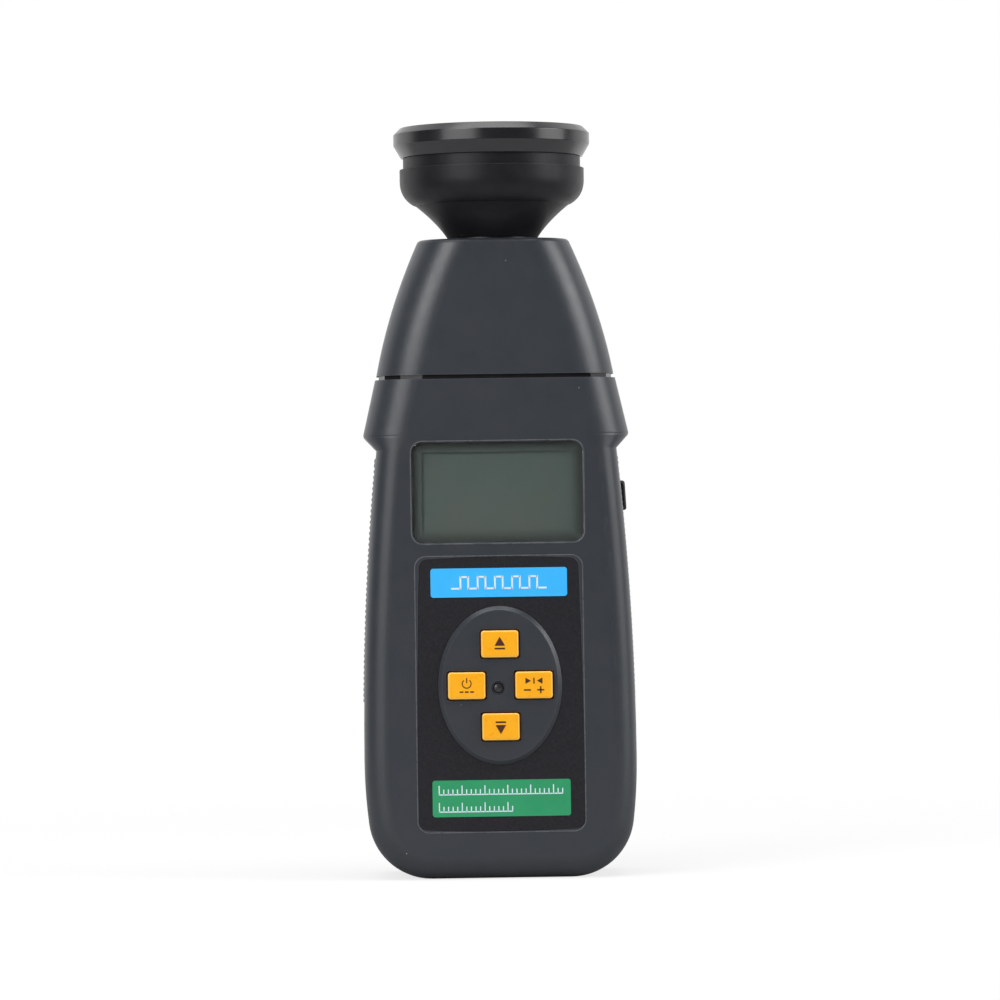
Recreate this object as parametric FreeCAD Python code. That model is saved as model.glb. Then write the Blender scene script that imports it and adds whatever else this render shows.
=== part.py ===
import FreeCAD, Part
import math
import os

# Handheld xenon stroboscope. Millimetres, +Z from the flat base up to the lamp, the keys face -Y,
# origin at the middle of the base.
Vector = FreeCAD.Vector

# Body outline, seen from the front
body_half_width = 38.9
widest_height = 34.0
corner_radius = 18.0
lower_side_radius = 150.0
step_height = 122.3
step_half_width = 34.3
shoulder_half_width = 38.1
undercut_height = 4.0
body_height = 142.5
body_top_half_width = 34.4

# Body depth and edges
body_half_depth = 20.0
body_top_half_depth = 19.6
grip_edge_radius = 7.0
shoulder_corner = 12.4
shoulder_edge_radius = 1.2
crest_facets = 4
wall = 2.2
seam_width = 0.4
seam_depth = 0.35

# Side grip
ridge_pitch = 1.6
ridge_radius = 0.5
ridge_depth = 0.28
ridge_low = 50.0
ridge_half_depth = 10.0

# Collar and nose
collar_gap = 1.2
collar_inset = 1.1
collar_wall = 1.6
collar_lower_length = 5.5
collar_upper_length = 5.2
nose_length = 38.8
nose_bottom_half_width = 34.0
nose_bottom_half_depth = 19.5
nose_top_half_width = 21.5
nose_top_half_depth = 17.5
nose_side_bulge = 1.32
nose_face_bulge = 0.275
nose_corner = 13.6
nose_rim_radius = 1.5
nose_top_wall = 2.5
spigot_ease = 0.35
slip = 0.1

# Lamp housing
neck_radius = 10.0
neck_bore = 7.5
neck_length = 11.0
nut_radius = 14.0
nut_height = 3.2
washer_thickness = 0.6
washer_radius = 12.5
cone_low_radius = 12.9
cone_high_radius = 22.2
cone_height = 9.7
cone_hollow = 0.75
bell_lip = 0.35
bell_radius = 26.5
bell_curve_height = 7.2
bell_curve_out = 1.035
bell_curve_down = 0.69
bell_band = 2.8
bell_edge = 0.3
groove_radius = 25.5
groove_height = 3.3
thread_radius = 25.0
thread_height = 3.2
bell_wall = 1.9
bell_inner_slope = 1.2
cone_inner_rise = 2.6
thread_wall = 1.6
socket_radius = 12.0
socket_depth = 3.3
socket_rise = 3.9

# Lens ring, lens and gasket
ring_radius = 28.2
ring_height = 8.6
ring_foot_radius = 26.1
ring_foot_height = 3.6
ring_bevel = 1.9
ring_lip_radius = 23.6
ring_lip_bevel = 1.0
thread_clearance = 0.05
lens_thickness = 2.0
gasket_thickness = 0.7

# Reflector and flash tube
reflector_seat = 1.2
reflector_rim = 24.1
reflector_mouth = 22.4
reflector_depth = 18.0
reflector_hole = 6.2
reflector_wall = 1.0
reflector_wall_out = 0.7
reflector_wall_down = 0.4
tube_radius = 2.0
tube_glass = 0.6
tube_leg_spacing = 7.8
tube_leg_length = 10.4
tube_seal = 2.2
tube_socket_depth = 1.6
electrode_radius = 0.5
electrode_head = 0.9
trigger_turns = 4
trigger_pitch = 1.5
trigger_wire_radius = 0.18
lead_radius = 0.8
lead_exit_drop = 1.0
lead_clear_drop = 5.0
trigger_lead_y = 5.0
terminal_x = 9.0
terminal_pitch = 4.0
terminal_depth = 8.0
terminal_height = 7.0
terminal_gap = 9.0
trigger_rise = 3.2
electrode_head_length = 3.0
electrode_gap = 1.2

# Display
window_width = 48.7
window_height = 28.7
window_drop = 12.2
window_corner = 3.0
window_thickness = 1.4
window_inset = 0.3
window_margin = 2.7
view_corner = 1.0
lcd_overlap = 1.6
lcd_thickness = 2.8
lcd_frame_wall = 1.2
zebra_width = 2.0
zebra_inset = 1.0
display_clearance = 0.15

# Label and strips
label_bottom = 13.7
label_height = 78.0
label_top_half_width = 22.5
label_mid_half_width = 23.45
label_low_half_width = 23.55
label_bow = 0.7
label_corner = 2.4
label_thickness = 0.35
label_recess = 0.3
label_clearance = 0.12
strip_thickness = 0.12
strip_corner = 0.8
blue_strip_width = 38.8
blue_strip_height = 8.25
blue_strip_drop = 7.3
green_strip_width = 39.3
green_strip_height = 10.4
green_strip_rise = 9.4

# Key field and keys
field_centre = 55.2
field_half_width = 17.6
field_half_height = 22.5
field_rise = 1.2
field_bevel = 1.1
key_width = 11.0
key_height = 8.0
key_corner = 0.9
key_rise = 1.1
key_gap = 0.25
key_flange = 1.0
key_flange_thickness = 1.0
key_travel = 0.6
key_spread_x = 9.55
key_spread_z = 11.75
key_edge = 0.35
stem_radius = 2.0
indicator_x = -0.5
indicator_z = 54.4
indicator_radius = 1.5
indicator_recess_radius = 2.1
indicator_recess = 0.8
indicator_rise = 0.2
indicator_flange = 0.6
indicator_flange_thickness = 0.8
indicator_lamp_height = 3.8

# Switches
switch_size = 6.0
switch_height = 3.5
plunger_radius = 1.7
plunger_clearance = 0.05
plunger_depth = 1.5
plunger_reach = 1.2
plunger_end_gap = 0.3

# Side button
side_button_height = 8.6
side_button_depth = 8.0
side_button_centre_z = 108.7
side_button_centre_y = 7.0
side_button_rise = 1.69
side_button_bulge = 0.6
side_button_corner = 1.5
side_button_travel = 1.0
side_flange = 1.0
side_flange_thickness = 1.0
side_plunger_reach = 1.4
side_gap = 0.25
side_board_thickness = 1.6
side_board_half_depth = 4.5
side_board_half_height = 5.5
side_post_thickness = 1.6
side_post_front = 4.0
side_post_half_height = 5.0

# Boards and their screws
board_thickness = 1.6
main_board_front = -9.0
main_board_side_margin = 1.65
main_board_bottom = 14.0
main_board_top_margin = 4.55
main_screw_x = 20.0
main_screw_low = 19.0
main_screw_window_gap = 8.25
power_board_front = -3.0
power_board_half_width = 20.0
power_board_bay_gap = 6.8
power_board_nut_gap = 8.8
power_screw_x = 16.5
power_screw_edge_gap = 4.0
power_screw_top_gap = 9.0
board_boss_radius = 2.7
board_screw_radius = 0.95
board_screw_head = 2.0
board_screw_head_height = 1.4
board_screw_length = 7.0
screw_tip_gap = 0.5
pilot_clearance = 0.05

# Parts on the boards
controller_z = 66.0
controller_size = 12.0
controller_height = 1.4
crystal_x = -13.2
crystal_width = 4.5
crystal_length = 11.0
crystal_height = 3.4
connector_z = 99.0
connector_width = 20.0
connector_height = 5.0
capacitor_radius = 8.0
capacitor_length = 14.0
capacitor_x = -9.5
capacitor_gap = 1.5
core_z = 120.0
core_width = 19.0
core_height = 16.0
core_depth = 5.0
core_rise = 4.5
core_limb = 5.2
core_yoke = 2.8
core_window_width = 3.8
bobbin_depth = 13.5
bobbin_gap = 0.2
trigger_coil_radius = 4.5
trigger_coil_length = 11.0
trigger_coil_drop = 21.0
diode_count = 4
diode_pitch = 5.0
diode_width = 2.6
diode_length = 4.3
diode_height = 2.3
diode_drop = 16.0

# Case screws
case_boss_radius = 3.2
case_screw_radius = 1.3
case_screw_head = 2.5
case_screw_head_height = 1.4
counterbore_clearance = 0.3
case_screw_length = 26.0
case_screw_sink = 4.0
case_screw_low_x = 24.0
case_screw_low_z = 9.0
case_screw_high_x = 24.0
case_screw_top_gap = 9.3
nose_screw_x = 14.0
nose_screw_rise = 3.2
nose_screw_length = 7.0
nose_screw_sink = 1.4
nose_boss_size = 7.0
nose_boss_height = 4.8
nose_boss_top_gap = 0.5
nose_boss_depth = 4.0
head_round = 0.4
recess_reach = 0.6
recess_width = 0.14
recess_depth = 0.4

# Batteries and their bay
cell_radius = 7.25
cell_length = 50.5
cell_nub_radius = 2.75
cell_nub_height = 1.3
cell_pitch = 14.9
cell_clearance = 0.15
cell_seat_wall = 1.35
bay_bottom = 14.5
contact_thickness = 0.5
spring_height = 4.5
spring_radius = 3.4
spring_wire_radius = 0.35
spring_turns = 3.5
bay_side_clearance = 0.4
tray_wall = 1.2
tray_corner = 3.4
tray_floor_depth = 4.0
cell_back_gap = 0.9
battery_lead_inset = 12.35
battery_lead_rise = 14.0
battery_lead_exit = 3.8
battery_lead_bend_depth = 1.6
battery_lead_bend_rise = 5.0
battery_lead_landing = 6.0
contact_reach = 5.5
contact_depth = 9.0

# Battery door
door_clearance = 0.2
door_thickness = 1.9
door_opening_inset = 0.6
door_corner = 2.0
hook_width = 4.0
hook_drop = 1.4
hook_reach = 2.5
hook_thickness = 1.9
hook_root_height = 2.0
hook_root_rise = 0.2
hook_face_clearance = 0.3
hook_side_clearance = 0.4
hook_end_clearance = 0.6
door_groove_width = 1.2
door_groove_depth = 0.6
door_groove_pitch = 3.0
door_groove_count = 4
door_groove_length = 18.0
door_groove_drop = 6.0

# Farther than any face of the object, for cuts that go right through
far = 60.0

nodes = {}


def keep(name, *shapes):
    """Store one or more solids as a node."""
    solids = []
    for shape in shapes:
        solids.extend(shape.Solids)
    nodes[name] = solids[0] if len(solids) == 1 else Part.makeCompound(solids)


def box(x0, x1, y0, y1, z0, z1):
    """Block between two values on each axis."""
    return Part.makeBox(x1 - x0, y1 - y0, z1 - z0, Vector(x0, y0, z0))


def rod(radius, x, y, z, axis, length):
    """Cylinder that starts at a point and runs along an axis."""
    return Part.makeCylinder(radius, length, Vector(x, y, z), axis)


AXIS_X = Vector(1, 0, 0)
AXIS_Y = Vector(0, 1, 0)
AXIS_Z = Vector(0, 0, 1)


def edges_along(shape, direction):
    """Straight edges that run along a direction."""
    found = []
    for edge in shape.Edges:
        if edge.Curve.TypeId == "Part::GeomLine":
            if abs(edge.Curve.Direction.dot(direction)) > 0.999:
                found.append(edge)
    return found


def edges_on_plane(shape, axis, value):
    """Edges that lie whole on a plane square to a row axis."""
    found = []
    for edge in shape.Edges:
        bounds = edge.BoundBox
        low, high = ((bounds.XMin, bounds.XMax), (bounds.YMin, bounds.YMax), (bounds.ZMin, bounds.ZMax))[axis]
        if abs(low - value) < 1e-4 and abs(high - value) < 1e-4:
            found.append(edge)
    return found


def plate_xz(half_width, half_height, corner, y0, y1, x=0.0, z=0.0):
    """Rounded rectangle seen from the front, between two depths."""
    block = box(x - half_width, x + half_width, y0, y1, z - half_height, z + half_height)
    return block.makeFillet(corner, edges_along(block, AXIS_Y))


def plate_yz(half_depth, half_height, corner, x0, x1, y, z):
    """Rounded rectangle seen from the side, between two values of X."""
    block = box(x0, x1, y - half_depth, y + half_depth, z - half_height, z + half_height)
    return block.makeFillet(corner, edges_along(block, AXIS_X))


def section_xy(half_width, half_depth, corner, z):
    """Rounded rectangle wire on a level plane."""
    cx = half_width - corner
    cy = half_depth - corner
    bend = corner * math.sqrt(0.5)
    quarters = [(cx, cy, 1, 1), (-cx, cy, -1, 1), (-cx, -cy, -1, -1), (cx, -cy, 1, -1)]
    edges = []
    arcs = []
    for index, (x, y, sx, sy) in enumerate(quarters):
        side = Vector(x + sx * corner, y, z)
        end = Vector(x, y + sy * corner, z)
        middle = Vector(x + sx * bend, y + sy * bend, z)
        if index % 2:
            side, end = end, side
        arcs.append((side, middle, end))
    for index, (start, middle, end) in enumerate(arcs):
        edges.append(Part.Arc(start, middle, end).toShape())
        following = arcs[(index + 1) % 4][0]
        edges.append(Part.LineSegment(end, following).toShape())
    return Part.Wire(edges)


def loft(sections, ruled=False):
    """Solid through level sections."""
    return Part.makeLoft(sections, True, ruled)


def revolved(edges):
    """Solid of revolution about the lamp axis from a closed chain of edges in the XZ plane."""
    return Part.Face(Part.Wire(edges)).revolve(Vector(0, 0, 0), AXIS_Z, 360)


def chain(points):
    """Edges through (r, z) points; a point marked with a third value is the middle of an arc."""
    edges = []
    count = len(points)
    index = 0
    while index < count:
        start = points[index]
        nearby = points[(index + 1) % count]
        if len(nearby) == 3:
            end = points[(index + 2) % count]
            places = [Vector(r, 0, z) for r, z in (start[:2], nearby[:2], end[:2])]
            edges.append(Part.Arc(*places).toShape())
            index += 2
        else:
            places = [Vector(r, 0, z) for r, z in (start[:2], nearby[:2])]
            edges.append(Part.LineSegment(*places).toShape())
            index += 1
    return edges


def turned(points):
    """Solid turned about the lamp axis from (r, z) points."""
    return revolved(chain(points))


def wire_route(points):
    """Straight runs joined by tangent arcs, each as large as its two runs allow."""
    points = [Vector(*point) for point in points]
    edges = []
    start = points[0]
    for before, corner, after in zip(points, points[1:], points[2:]):
        towards = (before - corner).normalize()
        away = (after - corner).normalize()
        turn = math.pi - towards.getAngle(away)
        reach = 0.45 * min(before.distanceToPoint(corner), corner.distanceToPoint(after))
        radius = reach / math.tan(turn / 2)
        entry = corner + towards * reach
        leave = corner + away * reach
        inward = (towards + away).normalize()
        centre = corner + inward * (radius / math.cos(turn / 2))
        edges.append(Part.LineSegment(start, entry).toShape())
        edges.append(Part.Arc(entry, centre - inward * radius, leave).toShape())
        start = leave
    edges.append(Part.LineSegment(start, points[-1]).toShape())
    return Part.Wire(edges)


def round_wire(route, radius):
    """Round tube along a route of runs and arcs."""
    first = route.Edges[0]
    start = first.valueAt(first.FirstParameter)
    along = first.tangentAt(first.FirstParameter)
    circle = Part.Wire([Part.Circle(start, along, radius).toShape()])
    sweep = Part.BRepOffsetAPI.MakePipeShell(route)
    sweep.add(circle)
    sweep.build()
    sweep.makeSolid()
    return sweep.shape()


def coil(x, y, z, radius, pitch, turns, wire_radius):
    """Round wire wound about a line that runs along Z, in quarter turns."""
    edges = []
    for quarter in range(int(turns * 4)):
        points = []
        for share in (quarter, quarter + 0.5, quarter + 1):
            angle = share * math.pi / 2
            spoke = Vector(radius * math.cos(angle), radius * math.sin(angle), pitch * share / 4)
            points.append(Vector(x, y, z) + spoke)
        edges.append(Part.Arc(*points).toShape())
    return round_wire(Part.Wire(edges), wire_radius)


def screw(x, y, z, axis, radius, length, head_radius, head_height):
    """Pan-head screw: the head's underside is at the point and the shank runs along the axis."""
    back = axis * -1
    shank = rod(radius, x, y, z, axis, length)
    head = rod(head_radius, x, y, z, back, head_height)
    top = y - axis.y * head_height
    head = head.makeFillet(head_height * head_round, edges_on_plane(head, 1, top))
    slot_half = head_radius * recess_reach
    slot_width = head_radius * recess_width
    slot_floor = top + axis.y * head_height * (1 - recess_depth)
    slot_top = top - axis.y
    low = min(slot_floor, slot_top)
    high = max(slot_floor, slot_top)
    cross = box(x - slot_half, x + slot_half, low, high, z - slot_width, z + slot_width)
    cross = cross.fuse(box(x - slot_width, x + slot_width, low, high, z - slot_half, z + slot_half))
    return shank.fuse(head).cut(cross).removeSplitter()


# Derived places
upper_side_rise = step_height - widest_height
upper_side_drop = body_half_width - step_half_width
upper_side_radius = (upper_side_rise ** 2 + upper_side_drop ** 2) / (2 * upper_side_drop)
inner_front = -body_half_depth + wall
inner_back = body_half_depth - wall
collar_top = body_height + collar_gap
nose_height = collar_top + nose_length
washer_top = nose_height + washer_thickness
bell_low = washer_top + cone_height
bell_band_low = bell_low + bell_curve_height
bell_top = bell_band_low + bell_band + bell_edge
ring_seat = bell_top + groove_height
bell_rim = ring_seat + thread_height
lens_bottom = bell_rim + gasket_thickness
lens_top = lens_bottom + lens_thickness
ring_top = ring_seat + ring_height
lamp_floor = washer_top + socket_rise
nut_bottom = nose_height - nose_top_wall - nut_height
window_centre = step_height - window_drop
window_low = window_centre - window_height / 2
label_top = label_bottom + label_height
blue_strip_centre = label_top - blue_strip_drop
green_strip_centre = label_bottom + green_strip_rise
bay_half_width = 1.5 * cell_pitch + cell_radius + bay_side_clearance
bay_length = cell_length + spring_height + 2 * contact_thickness
bay_top = bay_bottom + bay_length
cell_y = inner_back - cell_back_gap - cell_radius
tray_front = cell_y - cell_radius - cell_clearance - cell_seat_wall
tray_floor = tray_front + tray_floor_depth
main_board_half_width = window_width / 2 + main_board_side_margin
main_board_top = window_centre + window_height / 2 + main_board_top_margin
power_board_bottom = bay_top + tray_wall + power_board_bay_gap
power_board_top = nut_bottom - power_board_nut_gap
main_screw_high = window_low - main_screw_window_gap
power_screw_low = power_board_bottom + power_screw_edge_gap
power_screw_high = body_height - power_screw_top_gap
case_screw_high_z = body_height - case_screw_top_gap


def side_half_width(z, inset=0.0):
    """Half width of the body's side arc at a height, between the widest place and the step."""
    radius = upper_side_radius - inset
    return body_half_width - upper_side_radius + math.sqrt(radius ** 2 - (z - widest_height) ** 2)


def grip_block(inset):
    """Lower body up to the step, moved inwards by an inset: three tangent arcs a side and a flat base."""
    corner = corner_radius - inset
    lower = lower_side_radius - inset
    lower_x = body_half_width - lower_side_radius
    sine = (widest_height - corner_radius) / (lower_side_radius - corner_radius)
    cosine = math.sqrt(1 - sine ** 2)
    corner_x = lower_x + (lower_side_radius - corner_radius) * cosine
    join = Vector(lower_x + lower * cosine, 0, widest_height - lower * sine)
    half_turn = (math.pi / 2 + math.asin(sine)) / 2
    corner_middle = Vector(corner_x, 0, corner_radius)
    corner_middle += Vector(math.sin(half_turn), 0, -math.cos(half_turn)) * corner
    half_sweep = math.asin(sine) / 2
    lower_middle = Vector(lower_x, 0, widest_height)
    lower_middle += Vector(math.cos(half_sweep), 0, -math.sin(half_sweep)) * lower
    widest = Vector(body_half_width - inset, 0, widest_height)
    middle_z = (widest_height + step_height) / 2
    upper_middle = Vector(side_half_width(middle_z, inset), 0, middle_z)
    top = Vector(side_half_width(step_height, inset), 0, step_height)
    foot = Vector(corner_x, 0, inset)
    right = [(foot, corner_middle, join), (join, lower_middle, widest), (widest, upper_middle, top)]
    edges = [Part.Arc(*points).toShape() for points in right]

    def mirrored(point):
        return Vector(-point.x, 0, point.z)

    edges.append(Part.LineSegment(top, mirrored(top)).toShape())
    for start, middle, end in reversed(right):
        edges.append(Part.Arc(mirrored(end), mirrored(middle), mirrored(start)).toShape())
    edges.append(Part.LineSegment(mirrored(foot), foot).toShape())
    half_depth = body_half_depth - inset
    block = Part.Face(Part.Wire(edges)).extrude(Vector(0, 2 * half_depth, 0))
    block.translate(Vector(0, -half_depth, 0))
    rims = edges_on_plane(block, 1, -half_depth) + edges_on_plane(block, 1, half_depth)
    rims = [edge for edge in rims if edge.BoundBox.ZMin < step_height - 1]
    return block.makeFillet(grip_edge_radius - inset, rims)


def shoulder_profile():
    """Half widths and heights of the upper body: an undercut, a rounded crest and a taper."""
    low = Vector(step_half_width, 0, step_height)
    crest = Vector(shoulder_half_width, 0, step_height + undercut_height)
    top = Vector(body_top_half_width, 0, body_height)
    down = (low - crest).normalize()
    up = (top - crest).normalize()
    half_angle = down.getAngle(up) / 2
    reach = shoulder_edge_radius / math.tan(half_angle)
    start = crest + down * reach
    end = crest + up * reach
    inward = (down + up).normalize()
    centre = crest + inward * (shoulder_edge_radius / math.sin(half_angle))
    points = [low, start]
    for step in range(1, crest_facets):
        share = step / crest_facets
        spoke = (start - centre) * (1 - share) + (end - centre) * share
        points.append(centre + spoke.normalize() * shoulder_edge_radius)
    return points + [end, top]


def body_block(inset, rise):
    """Whole body, moved inwards by an inset, its top raised: the shoulder grows out of the grip's top."""
    grip = grip_block(inset)
    tops = [face for face in grip.Faces if abs(face.BoundBox.ZMin - step_height) < 0.001]
    sections = [tops[0].OuterWire]
    for point in shoulder_profile()[1:]:
        share = (point.z - step_height - undercut_height) / (body_height - step_height - undercut_height)
        half_depth = body_half_depth - (body_half_depth - body_top_half_depth) * max(0.0, share)
        blend = min(1.0, (point.z - step_height) / undercut_height)
        corner = grip_edge_radius + (shoulder_corner - grip_edge_radius) * blend
        sections.append(section_xy(point.x - inset, half_depth - inset, corner - inset, point.z))
    if rise:
        sections.append(section_xy(body_top_half_width - inset, body_top_half_depth - inset,
                                   shoulder_corner - inset, body_height + rise))
    return grip.fuse(loft(sections, True))


def nose_block(inset, bottom, top):
    """Tapered nose through four sections, slightly bulged."""
    span = nose_height - collar_top
    sections = []
    for step in range(4):
        z = bottom + (top - bottom) * step / 3
        share = (z - collar_top) / span
        swell = 4 * share * (1 - share)
        half_width = nose_bottom_half_width * (1 - share) + nose_top_half_width * share
        half_width += nose_side_bulge * swell
        half_depth = nose_bottom_half_depth * (1 - share) + nose_top_half_depth * share
        half_depth += nose_face_bulge * swell
        sections.append(section_xy(half_width - inset, half_depth - inset, nose_corner - inset, z))
    return loft(sections)


def body_shells():
    """Front and rear halves of the body, parted at the middle of its depth."""
    outer = body_block(0, 0)
    inner = body_block(wall, 1)
    seam = outer.cut(body_block(seam_depth, 1))
    seam = seam.common(box(-far, far, -seam_width / 2, seam_width / 2, -1, body_height + 1))
    grooves = []
    count = int((step_height - undercut_height / 2 - ridge_low) / ridge_pitch)
    for index in range(count):
        z = ridge_low + index * ridge_pitch
        x = side_half_width(z) + ridge_radius - ridge_depth
        for side in (-1, 1):
            grooves.append(rod(ridge_radius, side * x, -ridge_half_depth, z, AXIS_Y, 2 * ridge_half_depth))
    shell = outer.cut(inner).cut([seam] + grooves)
    front = shell.common(box(-far, far, -far, 0, -1, body_height + 1))
    rear = shell.common(box(-far, far, 0, far, -1, body_height + 1))
    return front, rear


def case_screw_places():
    """X and Z of the screws that hold the two halves of the body together."""
    return [
        (side * x, z)
        for x, z in ((case_screw_low_x, case_screw_low_z), (case_screw_high_x, case_screw_high_z))
        for side in (-1, 1)
    ]


def board_screw_places(x, low, high):
    """X and Z of the four screws of a board."""
    return [(side * x, z) for z in (low, high) for side in (-1, 1)]


main_screws = board_screw_places(main_screw_x, main_screw_low, main_screw_high)
power_screws = board_screw_places(power_screw_x, power_screw_low, power_screw_high)
key_places = {
    "up": (0.0, field_centre + key_spread_z),
    "down": (0.0, field_centre - key_spread_z),
    "read": (-key_spread_x, field_centre),
    "fine": (key_spread_x, field_centre),
}
main_board_back = main_board_front + board_thickness
power_board_back = power_board_front + board_thickness
field_face = -body_half_depth - field_rise
label_floor = -body_half_depth + label_recess


def label_outline(inset, y0, y1):
    """Label with slightly bowed edges, between two depths."""
    low = label_bottom + inset
    high = label_bottom + label_height - inset
    top = label_top_half_width - inset
    middle = label_mid_half_width - inset
    foot = label_low_half_width - inset
    middle_z = (low + high) / 2
    corners = [Vector(foot, y0, low + label_bow), Vector(top, y0, high - label_bow)]
    corners += [Vector(-top, y0, high - label_bow), Vector(-foot, y0, low + label_bow)]
    middles = [Vector(middle, y0, middle_z), Vector(0, y0, high)]
    middles += [Vector(-middle, y0, middle_z), Vector(0, y0, low)]
    edges = []
    for index in range(4):
        edges.append(Part.Arc(corners[index], middles[index], corners[(index + 1) % 4]).toShape())
    block = Part.Face(Part.Wire(edges)).extrude(Vector(0, y1 - y0, 0))
    return block.makeFillet(label_corner, edges_along(block, AXIS_Y))


def oval(half_width, half_height, y0, y1):
    """Upright oval between two depths."""
    centre = Vector(0, y0, field_centre)
    ellipse = Part.Ellipse(centre + AXIS_Z * half_height, centre + AXIS_X * half_width, centre)
    face = Part.Face(Part.Wire([ellipse.toShape()]))
    return face.extrude(Vector(0, y1 - y0, 0))


def front_shell(shell):
    """Front half: display opening, label recess, raised oval key field, bosses for board and case screws."""
    half_w = window_width / 2
    half_h = window_height / 2
    pocket_floor = -body_half_depth + window_inset + window_thickness
    pocket = plate_xz(half_w + display_clearance, half_h + display_clearance, window_corner,
                      -body_half_depth - 1, pocket_floor, 0, window_centre)
    view = plate_xz(half_w - window_margin, half_h - window_margin, view_corner,
                    pocket_floor - 1, inner_front + 1, 0, window_centre)
    recess = label_outline(-label_clearance, -body_half_depth - 1, label_floor)
    shell = shell.cut([pocket, view, recess])
    field = oval(field_half_width, field_half_height, field_face, inner_front)
    rim = edges_on_plane(field, 1, field_face)
    field = field.makeChamfer(field_bevel, rim)
    shell = shell.fuse(field)
    boss_root = inner_front - wall / 2
    for x, z in case_screw_places():
        shell = shell.fuse(rod(case_boss_radius, x, boss_root, z, AXIS_Y, -boss_root))
    for x, z in main_screws:
        shell = shell.fuse(rod(board_boss_radius, x, inner_front, z, AXIS_Y, main_board_front - inner_front))
    holes = []
    for x, z in case_screw_places():
        tip = body_half_depth - case_screw_sink - case_screw_length - 1
        holes.append(rod(case_screw_radius + pilot_clearance, x, tip, z, AXIS_Y, -tip + 1))
    for x, z in main_screws:
        tip = main_board_back - board_screw_length - screw_tip_gap
        holes.append(rod(board_screw_radius + pilot_clearance, x, tip, z, AXIS_Y, main_board_front - tip + 1))
    for x, z in key_places.values():
        holes.append(plate_xz(key_width / 2 + key_gap, key_height / 2 + key_gap, key_corner,
                              field_face - 1, inner_front + 1, x, z))
    outside = field_face - 1
    holes.append(rod(indicator_radius + pilot_clearance, indicator_x, outside, indicator_z, AXIS_Y,
                     inner_front + 1 - outside))
    holes.append(rod(indicator_recess_radius, indicator_x, outside, indicator_z, AXIS_Y, 1 + indicator_recess))
    shell = shell.cut(holes).removeSplitter()
    keep("front_shell", shell)


def door_frame():
    """Half width and heights of the battery door's opening."""
    return bay_half_width, bay_bottom - door_opening_inset, bay_top + door_opening_inset


def rear_shell(shell):
    """Rear half: battery door opening, side button opening, bosses for case and power board screws."""
    half, low, high = door_frame()
    opening = plate_xz(half, (high - low) / 2, door_corner, inner_back - 1, body_half_depth + 1,
                       0, (low + high) / 2)
    button_hole = plate_yz(side_button_depth / 2 + side_gap, side_button_height / 2 + side_gap,
                           side_button_corner, side_half_width(side_button_centre_z) - 2 * wall, far,
                           side_button_centre_y, side_button_centre_z)
    shell = shell.cut([opening, button_hole])
    for x, z in case_screw_places():
        shell = shell.fuse(rod(case_boss_radius, x, 0, z, AXIS_Y, inner_back + wall / 2))
    for x, z in power_screws:
        boss_length = inner_back - power_board_back
        shell = shell.fuse(rod(board_boss_radius, x, power_board_back, z, AXIS_Y, boss_length))
    post_x = side_board_x() - side_board_thickness
    post = box(post_x - side_post_thickness, post_x, side_button_centre_y - side_post_front,
               inner_back + wall / 2, side_button_centre_z - side_post_half_height,
               side_button_centre_z + side_post_half_height)
    shell = shell.fuse(post)
    holes = []
    for x, z in case_screw_places():
        seat = body_half_depth - case_screw_sink
        holes.append(rod(case_screw_radius + pilot_clearance * 2, x, -1, z, AXIS_Y, seat + 2))
        holes.append(rod(case_screw_head + counterbore_clearance, x, seat, z, AXIS_Y, case_screw_sink + 1))
    for x, z in power_screws:
        tip = power_board_front + board_screw_length + screw_tip_gap
        holes.append(rod(board_screw_radius + pilot_clearance, x, power_board_back - 1, z, AXIS_Y,
                         tip - power_board_back + 1))
    shell = shell.cut(holes).removeSplitter()
    keep("rear_shell", shell)


def faceted_section(half_width, half_depth, corner, z):
    """Level outline whose corners are three flats each."""
    cx = half_width - corner
    cy = half_depth - corner
    points = []
    for sx, sy, start in ((1, 1, 0), (-1, 1, 90), (-1, -1, 180), (1, -1, 270)):
        for step in range(4):
            angle = math.radians(start + step * 30)
            points.append(Vector(sx * cx + corner * math.cos(angle), sy * cy + corner * math.sin(angle), z))
    return Part.makePolygon(points + [points[0]])


def prism(wire, height):
    """Solid that stands on a level outline."""
    return Part.Face(wire).extrude(Vector(0, 0, height))


def nose_screw_places():
    """X and Z of the two screws that hold the nose on its collar."""
    return [(side * nose_screw_x, collar_top + nose_screw_rise) for side in (-1, 1)]


nose_slope_width = (nose_bottom_half_width - nose_top_half_width) / (nose_height - collar_top)
upper_spigot_half_width = nose_bottom_half_width - wall - nose_slope_width * collar_upper_length - slip
upper_spigot_half_depth = nose_bottom_half_depth - wall - spigot_ease - slip
lower_spigot_half_width = body_top_half_width - wall - slip
lower_spigot_half_depth = body_top_half_depth - wall - slip


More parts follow.
